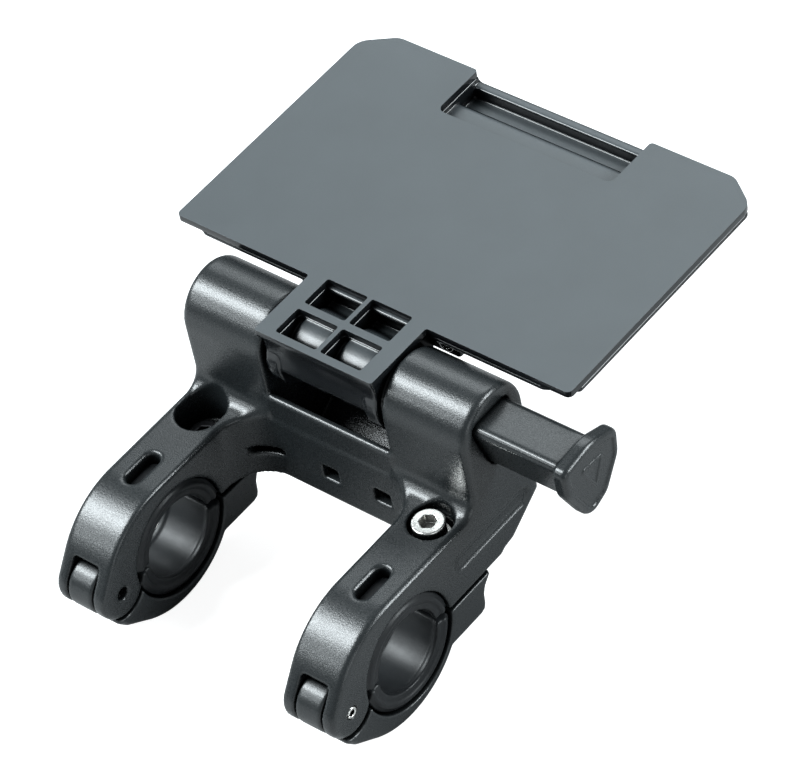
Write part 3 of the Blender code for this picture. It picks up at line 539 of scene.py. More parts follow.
LOOKS = {
    "bracket_plastic": plastic("bracket_nylon", (0.010, 0.012, 0.013), 0.29, 0.8),
    # For the plate and its frame the last colour is painted shade for every face that is not level.
    "plate_plastic": plastic("plate_nylon", (0.034, 0.041, 0.045), 0.42, 0.15, 0.1, (0.007, 0.008, 0.009)),
    "frame_plastic": plastic("frame_nylon", (0.032, 0.039, 0.043), 0.38, 0.2, 0.1, (0.006, 0.007, 0.008)),
    "jaw_plastic": plastic("jaw_nylon", (0.011, 0.013, 0.014), 0.33, 0.4),
    "button_plastic": plastic("button_nylon", (0.009, 0.011, 0.012), 0.30, 0.15),
    "inner_plastic": plastic("bush_acetal", (0.060, 0.060, 0.062), 0.48, 0.2),
    "pad_rubber": rubber("bar_pad_rubber"),
    "bright_steel": metal("zinc_plated_steel", (0.78, 0.77, 0.74), 0.20, (1.0, 1.0, 0.25), 0.25),
    "black_steel": metal("black_oxide_steel", (0.045, 0.045, 0.048), 0.34, (1.0, 1.0, 0.25), 0.3),
    "spring_steel": metal("spring_wire", (0.58, 0.58, 0.60), 0.26, (0.3, 1.0, 1.0), 0.3),
    "brass": metal("turned_brass", (0.72, 0.54, 0.26), 0.28, (1.0, 1.0, 0.3), 0.35),
}


# -------- bracket

def heel():
    return [(38.0, SPLIT_TOP), (41.6, SPLIT_TOP + 0.6), (BACK, 8.8)]


def side_outline():
    """Arm, tower and barrel seen along the handlebar, without the bore and run on below the split."""
    leave = tangent_angle(NOSE, NOSE_R, JAW_PIN, EAR_R, -1)
    ear_end = meeting((0, 0), BORE_R, JAW_PIN, EAR_R, 1)
    step = 5.0
    front = HINGE[0] - BARREL_R
    outline = [(34.0, SPLIT_TOP - 3.5)] + heel()
    outline += arc(HINGE, BARREL_R, 0, 180, 60)
    outline += arc((front - step, ARM_TOP + step), step, 0, -90, 12)
    outline += arc(NOSE, NOSE_R, 90, leave, 50)
    outline += arc(JAW_PIN, EAR_R, leave, angle_of(JAW_PIN, ear_end), 30)
    outline += [(-13.0, SPLIT_TOP - 3.5)]
    return outline


def button_outline(grow):
    side = grow * 1.3
    corners = [(-7.6 - side, 6.0 + grow), (-1.0, -14.8 - 2.0 * grow), (6.9 + side, 6.0 + grow)]
    return rounded(from_hinge(corners), [1.8, 2.4, 1.8])


def cap_outline():
    corners = [(-10.3, 8.8), (-9.9, 0.6), (-3.6, -11.9), (4.0, -9.0), (9.9, -0.6), (10.5, 6.9), (0.8, 10.4)]
    return rounded(from_hinge(corners), [2.4, 6.0, 4.0, 5.0, 6.0, 2.8, 12.0])


def arm_body(g, ax):
    """Both arms, webs, towers and barrels before anything is bored."""
    rim = 1.9
    side = polygon(g.y, g.z, side_outline())
    plan = join(INNER_X - ax, BEAM_FRONT - g.y, WEB_R)
    body = meet(meet(side, ax - OUTER_X, rim), plan, 1.2)
    middle = np.maximum(ax - TOWER_IN, ARM_TOP - g.z)
    body = carve(body, middle, 0.9)
    front_wall = meet(slab(g.y, BEAM_FRONT + 0.35, BEAM_FRONT + 2.5), g.z - BEAM_TOP, 0.7)
    back_wall = meet(slab(g.y, BACK - 2.5, BACK), g.z - BEAM_TOP, 0.7)
    walls = np.maximum(np.maximum(np.minimum(front_wall, back_wall), 8.0 - g.z), ax - TOWER_IN - 1.0)
    body = join(body, walls, 0.4)
    trough = [(BEAM_FRONT + 2.5, SPLIT_TOP + 2.5), (41.0, SPLIT_TOP + 2.9), (BACK - 2.5, 10.4),
              (BACK - 2.5, 44.0), (BEAM_FRONT + 2.5, 44.0)]
    return carve(body, np.maximum(polygon(g.y, g.z, trough), ax - TOWER_IN), 0.6)


def bore_clamps(body, g, ax):
    body = carve(body, np.maximum(disc(g.y, g.z, (0, 0), BORE_R), INNER_X - 1.0 - ax), 0.5)
    body = carve(body, np.maximum(-12.0 - g.y, g.z - SPLIT_TOP), 0.3)
    below = JAW_PIN[1] - EAR_R - 5
    slot = arc(JAW_PIN, 9.3, 0, 150, 24) + [(JAW_PIN[0] - 12.2, 5.0), (JAW_PIN[0] - 12.2, below),
                                            (JAW_PIN[0] + 9.3, below)]
    half_slot = 4.3
    body = carve(body, meet(polygon(g.y, g.z, slot), np.abs(ax - CLAMP_X) - half_slot, 1.1), 0.45)
    body = carve(body, disc(g.y, g.z, JAW_PIN, PIN_R + PIN_CLEAR), 0.2)
    lip = obround(ax, g.y, (CLAMP_X, KEY_Y), 5.9, 2.6)
    body = carve(body, np.maximum(lip, ARM_TOP - 0.35 - g.z), 0.15)
    key = obround(ax, g.y, (CLAMP_X, KEY_Y), 5.4, 2.1)
    return carve(body, np.maximum(key, 8.0 - g.z), 0.25)


def bore_bolts(body, g):
    for side, sign in SIDES.items():
        place = (sign * CLAMP_X, BOLT_Y)
        floor = HEAD_TOP[side] - HEAD_H - 1.6
        mouth = obround(g.x, g.y, (place[0], BOLT_Y + 0.9), *MOUTH[side])
        body = carve(body, np.maximum(mouth, HEAD_TOP[side] - 3.0 - g.z), 0.25)
        well = disc(g.x, g.y, place, 6.0)
        body = carve(body, np.maximum(well, slab(g.z, floor, HEAD_TOP[side] - 2.0)), 0.2)
        body = carve(body, disc(g.x, g.y, place, 2.8), 0.2)
    return body


def cut_openings(body, g, ax):
    for low_x, base in ((-5.0, 7.2), (11.4, 7.8)):
        hole = rounded_box(g.x, g.z, low_x, low_x + 5.2, base, base + 4.6, 0.4)
        body = carve(body, np.maximum(hole, np.abs(g.y - BEAM_FRONT - 1) - 3.0), 0.3)
    centre = (-(INNER_X - WEB_R), BEAM_FRONT - WEB_R)
    ring = np.abs(disc(g.x, g.y, centre, WEB_R + 0.75)) - 2.25
    around = np.maximum(g.x - centre[0], -9.0 - (g.x - centre[0]))
    slot = meet(np.maximum(ring, np.maximum(around, centre[1] + 6.0 - g.y)), slab(g.z, 7.6, 9.8), 0.4)
    body = carve(body, slot, 0.3)
    for near, far, front in ((21.4, 31.4, 32.5), (33.4, 41.8, 37.0)):
        core = rounded_box(ax, g.z, near, far, 13.0, 26.4, 1.5)
        body = carve(body, np.maximum(core, front - g.y), 0.5)
    return body


def bore_hinge(body, g):
    round_bore = disc(g.y, g.z, HINGE, BORE_HINGE_R)
    body = carve(body, np.maximum(round_bore, g.x - POCKET_FLOOR - 1), 0.4)
    pocket = polygon(g.y, g.z, button_outline(0.35))
    return carve(body, np.maximum(pocket, POCKET_FLOOR - g.x), 0.5)


def cut_side_panel(body, g):
    """A shallow lozenge on the right tower with a plain raised outline."""
    strip = obround(g.z, g.y, PANEL, 14.2, 2.6)
    depth = OUTER_X - 0.8
    body = carve(body, np.maximum(strip, depth - g.x), 0.15)
    inner = np.abs(obround(g.z, g.y, PANEL, 13.2, 1.6)) - 0.25
    ridge = np.maximum(inner, slab(g.x, depth - 0.6, depth + 0.45))
    return join(body, ridge, 0.12)


def make_bracket():
    g = Grid(bracket_low, bracket_high, 0.62)
    ax = np.abs(g.x)
    body = arm_body(g, ax)
    body = bore_clamps(body, g, ax)
    body = bore_bolts(body, g)
    body = cut_openings(body, g, ax)
    body = bore_hinge(body, g)
    body = cut_side_panel(body, g)
    moulded("bracket_moulding", body, g, LOOKS["bracket_plastic"], "bracket", "bracket_plastic",
            "bracket_body")


# -------- clamps

def jaw_outline():
    belly = (-3.0, 3.7)
    outline = [(31.0, 2.0), (31.4, -1.6), (29.2, -4.0), (28.4, -6.0), (28.2, -9.2), (27.6, -10.8),
               (26.0, -11.5), (14.4, -11.5)]
    outline += arc(belly, 23.1, -42.5, -127, 40)
    outline += [(-23.0, -10.6), (-25.4, -7.8), (-25.4, 2.0)]
    return outline


def knuckle_outline():
    outline = arc(JAW_PIN, 7.2, 96, 246, 24)
    outline += [(-24.6, -8.2), (-22.4, -10.4), (-18.0, -13.6), (-12.4, -12.6), (-15.6, -6.2)]
    return outline + arc(JAW_PIN, 6.1, -40, 92, 20)


def make_jaw(side, x):
    low, high = node_box(f"clamp_jaw_{side}")
    g = Grid(low, high, 0.45)
    across = np.abs(g.x - x)
    body = meet(polygon(g.y, g.z, jaw_outline()), across - CLAMP_HALF, 1.3)
    body = meet(body, g.z - SPLIT_LOW, 0.3)
    body = carve(body, disc(g.y, g.z, JAW_PIN, 7.8), 0.3)
    body = carve(body, disc(g.y, g.z, (0, 0), BORE_R + 0.3), 0.5)
    knuckle = meet(polygon(g.y, g.z, knuckle_outline()), across - 3.9, 0.8)
    body = join(body, knuckle, 0.4)
    body = carve(body, disc(g.y, g.z, JAW_PIN, PIN_R + PIN_CLEAR), 0.2)
    place = (x, BOLT_Y)
    body = carve(body, np.maximum(disc(g.x, g.y, place, 3.75), SPLIT_LOW - 5.9 - g.z), 0.2)
    body = carve(body, disc(g.x, g.y, place, 3.1), 0.3)
    moulded(f"jaw_moulding_{side}", body, g, LOOKS["jaw_plastic"], f"jaw_{side}", "jaw_plastic",
            f"clamp_jaw_{side}")


def make_pads(side, x):
    """Half-shell liners with a proud bead along each rim and a shallow channel between the beads."""
    for half_name, start, end in (("upper", 4.0, 177.0), ("lower", 180.5, 356.0)):
        node = f"bar_pad_{half_name}_{side}"
        low, high = node_box(node)
        g = Grid(low, high, 0.36)
        across = np.abs(g.x - x)
        reach = CLAMP_HALF - 0.1
        radius = np.hypot(g.y, g.z)
        section = [(-1.0, PAD_MID_R), (-1.0, BORE_R - 0.3), (reach - 0.9, BORE_R - 0.3),
                   (reach - 0.7, PAD_BEAD_R + 0.3), (reach, PAD_BEAD_R - 0.4), (reach, PAD_R + 2.2),
                   (reach - 0.5, PAD_R + 1.8), (reach - 0.5, PAD_R), (reach - 1.6, PAD_R),
                   (reach - 2.4, PAD_MID_R)]
        profile = rounded(section, [0.1, 0.1, 0.1, 0.4, 0.5, 0.25, 0.2, 0.2, 0.4, 0.5])
        across, radius = np.broadcast_arrays(across, radius)
        shell = polygon(across, radius, profile)
        middle = math.radians((start + end) / 2)
        spread = math.radians((end - start) / 2)
        ahead = g.y * math.cos(middle) + g.z * math.sin(middle)
        aside = np.abs(g.z * math.cos(middle) - g.y * math.sin(middle))
        wedge = aside * math.cos(spread) - ahead * math.sin(spread)
        shell = meet(shell, wedge, 0.8)
        if half_name == "lower":
            shell = carve(shell, disc(g.y, g.z, JAW_PIN, EAR_R + 0.3), 0.2)
        else:
            key = np.maximum(obround(g.x, g.y, (x, KEY_Y), 5.0, 1.8), slab(g.z, 14.4, 17.2))
            shell = join(shell, key, 0.2)
        body = f"jaw_{side}" if half_name == "lower" else "bracket"
        moulded(f"pad_{half_name}_{side}", shell, g, LOOKS["pad_rubber"], body, "pad_rubber", node)


def thread(radius, g, place):
    """Distance to a threaded upright rod: a ridge that climbs one pitch a turn."""
    turn = np.arctan2(g.y - place[1], g.x - place[0]) / (2 * math.pi)
    phase = (g.z / BOLT_PITCH - turn) % 1.0
    ridge = np.abs(phase - 0.5) * 2 * THREAD_DEPTH
    return (np.hypot(g.x - place[0], g.y - place[1]) - radius + ridge) * 0.8


def make_bolt(side, x):
    """M5 cap screw: a knurled head with a hexagon socket, and a threaded shank."""
    low, high = node_box(f"clamp_bolt_{side}")
    g = Grid(low, high, 0.15)
    place = (x, BOLT_Y)
    top = HEAD_TOP[side]
    radius = np.hypot(g.x - x, g.y - BOLT_Y)
    angle = np.arctan2(g.y - BOLT_Y, g.x - x)
    knurl = 0.10 * np.abs(np.sin(angle * 18)) * (g.z < top - 0.9)
    head = meet(radius - HEAD_R + knurl, slab(g.z, top - HEAD_H, top), 0.35)
    shank = meet(thread(2.2, g, place), slab(g.z, BOLT_TIP, top - HEAD_H + 0.5), 0.3)
    body = join(head, shank, 0.15)
    hexagon = slab(g.x, x - 2.0, x + 2.0)
    for degrees in (60, 120):
        c, s = math.cos(math.radians(degrees)), math.sin(math.radians(degrees))
        hexagon = np.maximum(hexagon, np.abs((g.x - x) * c + (g.y - BOLT_Y) * s) - 2.0)
    body = carve(body, np.maximum(hexagon, top - 2.6 - g.z), 0.18)
    slot = "bright_steel" if side == "right" else "black_steel"
    moulded(f"cap_screw_{side}", body, g, LOOKS[slot], f"bolt_{side}", slot, f"clamp_bolt_{side}")
    make_washer(side, x, slot)


def make_washer(side, x, slot):
    low, high = node_box(f"bolt_washer_{side}")
    g = Grid(low, high, 0.18)
    radius = np.hypot(g.x - x, g.y - BOLT_Y)
    ring = meet(meet(radius - 5.4, slab(g.z, low[2], high[2]), 0.25), 2.65 - radius, 0.15)
    moulded(f"washer_{side}", ring, g, LOOKS[slot], f"bolt_{side}", slot, f"bolt_washer_{side}")


def make_insert(side, x):
    """Brass insert: two knurled bands with a plain groove between, and a threaded bore."""
    low, high = node_box(f"thread_insert_{side}")
    g = Grid(low, high, 0.16)
    radius = np.hypot(g.x - x, g.y - BOLT_Y)
    angle = np.arctan2(g.y - BOLT_Y, g.x - x)
    middle = (low[2] + high[2]) / 2
    band = np.abs(g.z - middle) > 0.6
    outside = radius - 3.6 + np.where(band, 0.16 * np.abs(np.sin(angle * 14)), 0.4)
    body = meet(outside, slab(g.z, low[2], high[2]), 0.2)
    bore = thread(2.84, g, (x, BOLT_Y))
    moulded(f"insert_{side}", carve(body, bore, 0.05), g, LOOKS["brass"], f"jaw_{side}", "brass",
            f"thread_insert_{side}")


def make_roll_pin(side):
    """Rolled spring-steel pin: a tube with chamfered ends, split along its length."""
    node = f"jaw_pin_{side}"
    low, high = node_box(node)
    g = Grid(low, high, 0.14)
    radius = np.hypot(g.y - JAW_PIN[0], g.z - JAW_PIN[1])
    body = meet(radius - PIN_R, slab(g.x, low[0], high[0]), 0.3)
    body = carve(body, radius - 0.85, 0.12)
    split = np.maximum(np.abs(g.z - JAW_PIN[1]) - 0.2, g.y - JAW_PIN[0])
    body = carve(body, split, 0.05)
    moulded(f"roll_pin_{side}", body, g, LOOKS["bright_steel"], "bracket", "bright_steel", node)


# -------- plate

def plate_corners(chamfer, inset=0.0, front_cut=0.0):
    """Right half of the plate's outline then its mirror image, anticlockwise."""
    w, front, back = PLATE_HALF - inset, PLATE_FRONT + inset, PLATE_BACK - inset
    notch, notch_y = NOTCH_HALF + inset, NOTCH_Y - inset
    right = [(w, front + front_cut), (w, back - chamfer[1]), (w - chamfer[0], back), (notch, back),
             (notch, notch_y)]
    return right + [(-x, y) for x, y in reversed(right)]


def shade_sheet(mesh):
    """Smooth bevels between flat level faces."""
    mesh.shade_smooth()
    mesh.set_sharp_from_angle(angle=math.radians(35))
    for face in mesh.polygons:
        if abs(face.normal.z) > 0.9999:
            face.use_smooth = False


def sheet_mesh(name, outline, holes, low, high, top_edge, low_edge):
    """A flat moulding: outline less holes, extruded, with rounded top and bottom edges."""
    bm = bmesh.new()
    for loop in [outline] + holes:
        verts = [bm.verts.new((x, y, high)) for x, y in loop]
        for i, vert in enumerate(verts):
            bm.edges.new((vert, verts[(i + 1) % len(verts)]))
    bmesh.ops.triangle_fill(bm, use_beauty=True, use_dissolve=False, edges=bm.edges[:], normal=(0, 0, 1))
    grown = bmesh.ops.extrude_face_region(bm, geom=bm.faces[:])
    moved = [item for item in grown["geom"] if isinstance(item, bmesh.types.BMVert)]
    bmesh.ops.translate(bm, verts=moved, vec=(0, 0, low - high))
    bmesh.ops.recalc_face_normals(bm, faces=bm.faces[:])
    for level, width in ((high, top_edge), (low, low_edge)):
        rim = [edge for edge in bm.edges if all(abs(vert.co.z - level) < 1e-4 for vert in edge.verts)
               and any(abs(face.normal.z) < 0.5 for face in edge.link_faces)]
        bmesh.ops.bevel(bm, geom=rim, offset=width, segments=3, profile=0.5, affect="EDGES",
                        clamp_overlap=True)
    bmesh.ops.translate(bm, verts=bm.verts[:], vec=Vector(BAR_AXIS))
    bmesh.ops.scale(bm, verts=bm.verts[:], vec=(MM, MM, MM))
    return mesh_of(bm, name)


def window_loops():
    loops = []
    for low_x, high_x in WINDOWS_X:
        for low_y, high_y in WINDOWS_Y:
            corners = [(low_x, low_y), (high_x, low_y), (high_x, high_y), (low_x, high_y)]
            loops.append(rounded(corners, [0.7] * 4))
    return loops


def join_meshes(piece, extra):
    """Adds another mesh to a piece as one more closed shell."""
    bm = bmesh.new()
    bm.from_mesh(piece.data)
    bm.from_mesh(extra)
    bm.to_mesh(piece.data)
    bm.free()
    shade_sheet(piece.data)
    bpy.data.meshes.remove(extra)


def make_top_plate():
    right = plate_corners(CHAMFER)
    tongue = [(-LUG_HALF, PLATE_FRONT), (-LUG_HALF, LUG_FRONT), (LUG_HALF, LUG_FRONT),
              (LUG_HALF, PLATE_FRONT)]
    radii = [1.5, 5.0, 5.0, 1.0, 2.0, 2.0, 1.0, 5.0, 5.0, 1.5, 0.8, 0.8, 0.8, 0.8]
    outline = rounded(right + tongue, radii)
    low = PLATE_TOP - SHEET
    sheet = sheet_mesh("plate_sheet", outline, window_loops(), low, PLATE_TOP, 0.75, 0.2)
    piece = add_piece("plate_sheet", sheet, LOOKS["plate_plastic"], "plate", "plate_plastic", "top_plate")
    g = Grid((-46.0, 58.0, SPINE_LOW - 0.7), (46.0, 124.0, low + 0.5), 0.5)
    ax = np.abs(g.x)
    web = meet(rounded_box(g.y, g.z, 59.1, 62.1, SPINE_LOW, low + 0.8, 0.5), ax - SPINE_HALF, 0.6)
    boss = disc(ax, g.y, REAR_SCREW, 3.0)
    boss = carve(meet(boss, slab(g.z, 46.4, low + 0.8), 0.3), disc(ax, g.y, REAR_SCREW, SCREW_PILOT_R), 0.15)
    web = carve(web, disc(ax, g.z, SPINE_SCREW, SCREW_PILOT_R), 0.15)
    points, quads = surface(np.maximum(np.minimum(web, boss), g.z - low - 0.4), g)
    join_meshes(piece, mesh_from("plate_under", points, quads))


def lug_block(g, ax):
    """Hinge block, seen from the side, with a slightly hollow front wall."""
    side_x = LUG_HALF - 0.9
    front = LUG_FRONT + 0.9
    top = FRAME_TOP
    corners = [(front, 38.6), (50.8, 38.6), (54.4, 43.4), (58.3, 43.4), (58.3, top), (front, top)]
    outline = rounded(corners, [0.9, 1.5, 0.5, 0.5, 0.3, 0.3])
    block = meet(polygon(g.y, g.z, outline), ax - side_x, 0.9)
    hollow_r = 18.0
    block = carve(block, disc(g.y, g.z, (front + 0.55 - hollow_r, 44.6), hollow_r), 0.5)
    cheek = np.maximum(disc(g.y, g.z, HINGE, 11.2), g.z - top)
    return np.minimum(block, meet(cheek, slab(ax, 13.2, side_x), 0.6))


def make_lug_points():
    g = Grid((-LUG_HALF, LUG_FRONT, carrier_low[2]), (LUG_HALF, 60.0, PLATE_TOP - SHEET), 0.42)
    ax = np.abs(g.x)
    body = lug_block(g, ax)
    for low_x, high_x in WINDOWS_X:
        for low_y, high_y in WINDOWS_Y:
            pocket = rounded_box(g.x, g.y, low_x, high_x, low_y, high_y, 0.7)
            body = carve(body, np.maximum(pocket, 26.0 - g.z), 0.2)
    sill = np.maximum(rounded_box(g.y, g.z, 50.4, 53.0, 38.6, 44.2, 0.6), ax - 14.0)
    body = np.minimum(body, sill)
    body = np.minimum(body, meet(disc(g.y, g.z, HINGE, HUB_CORE_R), ax - LUG_HALF, 0.4))
    for near, far in (DRUM_X, (13.2, LUG_HALF)):
        drum = meet(disc(g.y, g.z, HINGE, HUB_R), slab(ax, near, far), 0.35)
        body = np.minimum(body, drum)
    body = carve(body, disc(g.y, g.z, HINGE, HUB_BORE_R), 0.3)
    return surface(body, g)


def make_frame_points():
    """Stiffening frame under the sheet, with the latch shelf and groove in the notch."""
    top = FRAME_TOP
    low = 48.0
    g = Grid((-PLATE_HALF, PLATE_FRONT, SPINE_LOW - 0.2), (PLATE_HALF, PLATE_BACK, top), 0.54)
    ax = np.abs(g.x)
    corners = plate_corners(FRAME_CHAMFER, 0.1, 4.0)
    corners += [(-PLATE_HALF + 8.6, PLATE_FRONT + 0.1), (PLATE_HALF - 8.6, PLATE_FRONT + 0.1)]
    outline = rounded(corners, [1.2, 2.2, 2.2, 0.8, 1.2, 1.2, 0.8, 2.2, 2.2, 1.2, 1.2, 1.2])
    body = meet(polygon(g.x, g.y, outline), slab(g.z, low, top), 0.35)
    for near, far in ((3.2, 27.5), (30.5, 55.5)):
        body = carve(body, rounded_box(ax, g.y, near, far, 66.0, 106.5, 2.0), 0.3)
    ribs = ((-1.0, 56.0, 62.2, 64.2), (-1.0, 56.0, 108.2, 110.2), (-1.0, 1.0, 58.0, 109.0),
            (28.0, 30.0, 58.0, 109.0))
    for rib in ribs:
        body = join(body, meet(rounded_box(ax, g.y, *rib, 0.5), slab(g.z, 46.6, top - 0.4), 0.4), 0.6)
    spine = meet(rounded_box(g.y, g.z, 54.4, 58.8, SPINE_LOW, top - 0.4, 0.6), ax - SPINE_HALF, 0.6)
    spine = carve(spine, disc(ax, g.z, SPINE_SCREW, 1.6), 0.15)
    body = join(body, spine, 0.5)
    body = carve(body, rounded_box(ax, g.y, -1.0, SPINE_HALF + 0.3, 58.8, 62.4, 0.4), 0.2)
    cup = meet(disc(ax, g.y, REAR_SCREW, 5.0), slab(g.z, 44.4, low + 0.4), 0.5)
    body = carve(join(body, cup, 0.5), np.maximum(disc(ax, g.y, REAR_SCREW, 3.3), 46.1 - g.z), 0.2)
    body = carve(body, disc(ax, g.y, REAR_SCREW, 1.6), 0.2)
    return surface(add_latch_shelf(body, g, ax, low), g)


def add_latch_shelf(body, g, ax, low):
    """The notch's floor: a flat shelf whose far edge rolls down into a groove, and a bar behind it."""
    shelf = np.maximum(rounded_box(ax, g.y, -1.0, 31.0, 108.6, PLATE_BACK - 0.2, 0.4),
                       slab(g.z, 46.2, low + 0.2))
    channel = meet(rounded_box(ax, g.y, -1.0, 28.4, 119.9, 128.8, 0.8), slab(g.z, 43.2, low + 0.2), 0.5)
    body = join(body, np.minimum(shelf, channel), 0.3)
    front, back = GROOVE_Y
    aside = ax - GROOVE_HALF
    groove = np.maximum(aside, slab(g.y, front, back))
    body = carve(body, np.maximum(groove, GROOVE_FLOOR - g.z), 0.3)
    roll = 1.8
    lead = np.maximum(slab(g.y, front - roll, front + 0.1), np.maximum(low + 0.2 - roll - g.z, aside))
    rolled = np.maximum(lead, roll - np.hypot(g.y - front + roll, g.z - low - 0.2 + roll))
    body = np.maximum(body, -rolled)
    wall = np.maximum(np.abs(ax - 27.6) - 0.6, slab(g.y, 114.0, PLATE_BACK - 0.4))
    return join(body, np.maximum(wall, slab(g.z, 46.5, FRAME_TOP)), 0.9)


def make_carrier():
    lug_points, lug_quads = make_lug_points()
    frame_points, frame_quads = make_frame_points()
    points = np.concatenate([frame_points, lug_points])
    quads = np.concatenate([frame_quads, lug_quads + len(frame_points)])
    add_piece("plate_frame", mesh_from("plate_frame", points, quads), LOOKS["frame_plastic"], "plate",
              "plate_plastic", "plate_carrier")


def make_screw(node, axis):
    """A pan-head screw with a cross recess and a coarse thread."""
    low, high = node_box(node)
    g = Grid(low, high, 0.12)
    if axis == "Z":
        a, b, along = g.x, g.y, g.z - low[2]
        centre = ((low[0] + high[0]) / 2, (low[1] + high[1]) / 2)
        length = high[2] - low[2]
    else:
        a, b, along = g.x, g.z, g.y - low[1]
        centre = ((low[0] + high[0]) / 2, (low[2] + high[2]) / 2)
        length = high[1] - low[1]
    radius = np.hypot(a - centre[0], b - centre[1])
    turn = np.arctan2(b - centre[1], a - centre[0]) / (2 * math.pi)
    ridge = np.abs((along / 0.9 - turn) % 1.0 - 0.5) * 0.5
    taper = np.maximum(along - length + 1.4, 0) * 0.55
    shank = meet((radius - 1.12 + ridge + taper) * 0.8, slab(along, 1.0, length), 0.1)
    dome = np.hypot(radius, along - 3.6) - 3.6
    head = meet(meet(radius - 2.1, slab(along, 0.0, 1.5), 0.15), dome, 0.1)
    cross = np.minimum(np.maximum(np.abs(a - centre[0]) - 1.25, np.abs(b - centre[1]) - 0.28),
                       np.maximum(np.abs(b - centre[1]) - 1.25, np.abs(a - centre[0]) - 0.28))
    body = carve(join(head, shank, 0.1), np.maximum(cross, along - 0.8), 0.06)
    name = node.replace("screw", "pan_screw")
    moulded(name, body, g, LOOKS["bright_steel"], "plate", "bright_steel", node)


# -------- push button, lock and hinge

def make_shaft():
    """Three-sided shaft with a collar under the cap, and the round lock pin behind it."""
    g = Grid(shaft_low, shaft_high, 0.4)
    start, end = 33.0, 69.4
    radius = disc(g.y, g.z, HINGE, 0.0)
    triangle = polygon(g.y, g.z, button_outline(0))
    body = meet(triangle, slab(g.x, start, end), 0.5)
    collar = meet(triangle + 0.45, slab(g.x, end - 1.2, end + 0.4), 0.1)
    groove = np.maximum(np.abs(g.x - end + 1.0) - 0.22, -0.35 - triangle)
    body = np.minimum(carve(body, groove, 0.12), collar)
    pin = meet(radius - 4.0, slab(g.x, shaft_low[0], start + 2), 0.5)
    clip_groove = np.maximum(slab(g.x, 2.7, 3.8), 3.1 - radius)
    pin = carve(pin, clip_groove, 0.1)
    spigot = meet(radius - 3.0, slab(g.x, end - 2, shaft_high[0]), 0.3)
    body = join(join(body, pin, 0.8), spigot, 0.2)
    moulded("button_stem", body, g, LOOKS["button_plastic"], "button", "button_plastic", "button_shaft")


def make_cap():
    """Plectrum-shaped cap: rolled rim, dished face and a plain raised triangle."""
    g = Grid(cap_low, cap_high, 0.26)
    plate = polygon(g.y, g.z, cap_outline())
    back, face = cap_low[0], cap_high[0]
    body = meet(meet(plate, g.x - face, 1.5), back - g.x, 1.1)
    dish = np.maximum(plate + 2.1, face - 0.45 - g.x)
    body = carve(body, dish, 0.3)
    mark = polygon(g.y, g.z, rounded(from_hinge([(-4.2, 4.6), (0.2, -4.8), (4.6, 3.9)]), [0.8, 0.8, 0.8]))
    raised = np.maximum(np.abs(mark + 0.45) - 0.45, slab(g.x, face - 1.0, face - 0.15))
    body = join(body, raised, 0.15)
    socket = np.maximum(disc(g.y, g.z, HINGE, 3.3), g.x - face + 1.3)
    moulded("button_cap_moulding", carve(body, socket, 0.2), g, LOOKS["button_plastic"], "button",
            "button_plastic", "button_cap")


def make_lock_parts():
    low, high = node_box("lock_cone")
    g = Grid(low, high, 0.26)
    radius = disc(g.y, g.z, HINGE, 0.0)
    slope = (radius - 6.4) + np.maximum(g.x - 7.6, 0) * (6.4 - 4.9) / (high[0] - 7.6)
    angle = np.arctan2(g.z - HINGE[1], g.y - HINGE[0])
    ribs = 0.15 * (np.cos(angle * 24) > 0.5) * (g.x > 7.6)
    cone = carve(meet(slope + ribs, slab(g.x, low[0], high[0]), 0.3), radius - 4.15, 0.2)
    moulded("lock_wedge", cone, g, LOOKS["inner_plastic"], "button", "inner_plastic", "lock_cone")
    low, high = node_box("retaining_ring")
    g = Grid(low, high, 0.16)
    radius = disc(g.y, g.z, HINGE, 0.0)
    ring = carve(meet(radius - 5.6, slab(g.x, low[0], high[0]), 0.2), radius - 3.3, 0.1)
    ring = carve(ring, np.maximum(np.abs(g.y - HINGE[0]) - 2.2, g.z - HINGE[1]), 0.2)
    moulded("clip_ring", ring, g, LOOKS["spring_steel"], "button", "spring_steel", "retaining_ring")


def make_bushes():
    for side in SIDES:
        node = f"hinge_bush_{side}"
        low, high = node_box(node)
        g = Grid(low, high, 0.32)
        radius = disc(g.y, g.z, HINGE, 0.0)
        sleeve = carve(meet(radius - 6.6, slab(g.x, low[0], high[0]), 0.5), radius - 4.25, 0.4)
        moulded(f"bush_sleeve_{side}", sleeve, g, LOOKS["inner_plastic"], "bracket", "inner_plastic", node)
    low, high = node_box("end_plug")
    g = Grid(low, high, 0.3)
    radius = disc(g.y, g.z, HINGE, 0.0)
    plug = meet(radius - 6.7, slab(g.x, low[0], high[0]), 0.5)
    plug = carve(plug, np.maximum(np.abs(radius - 4.6) - 0.4, g.x - low[0] - 0.5), 0.15)
    moulded("barrel_plug", plug, g, LOOKS["bracket_plastic"], "bracket", "bracket_plastic", "end_plug")


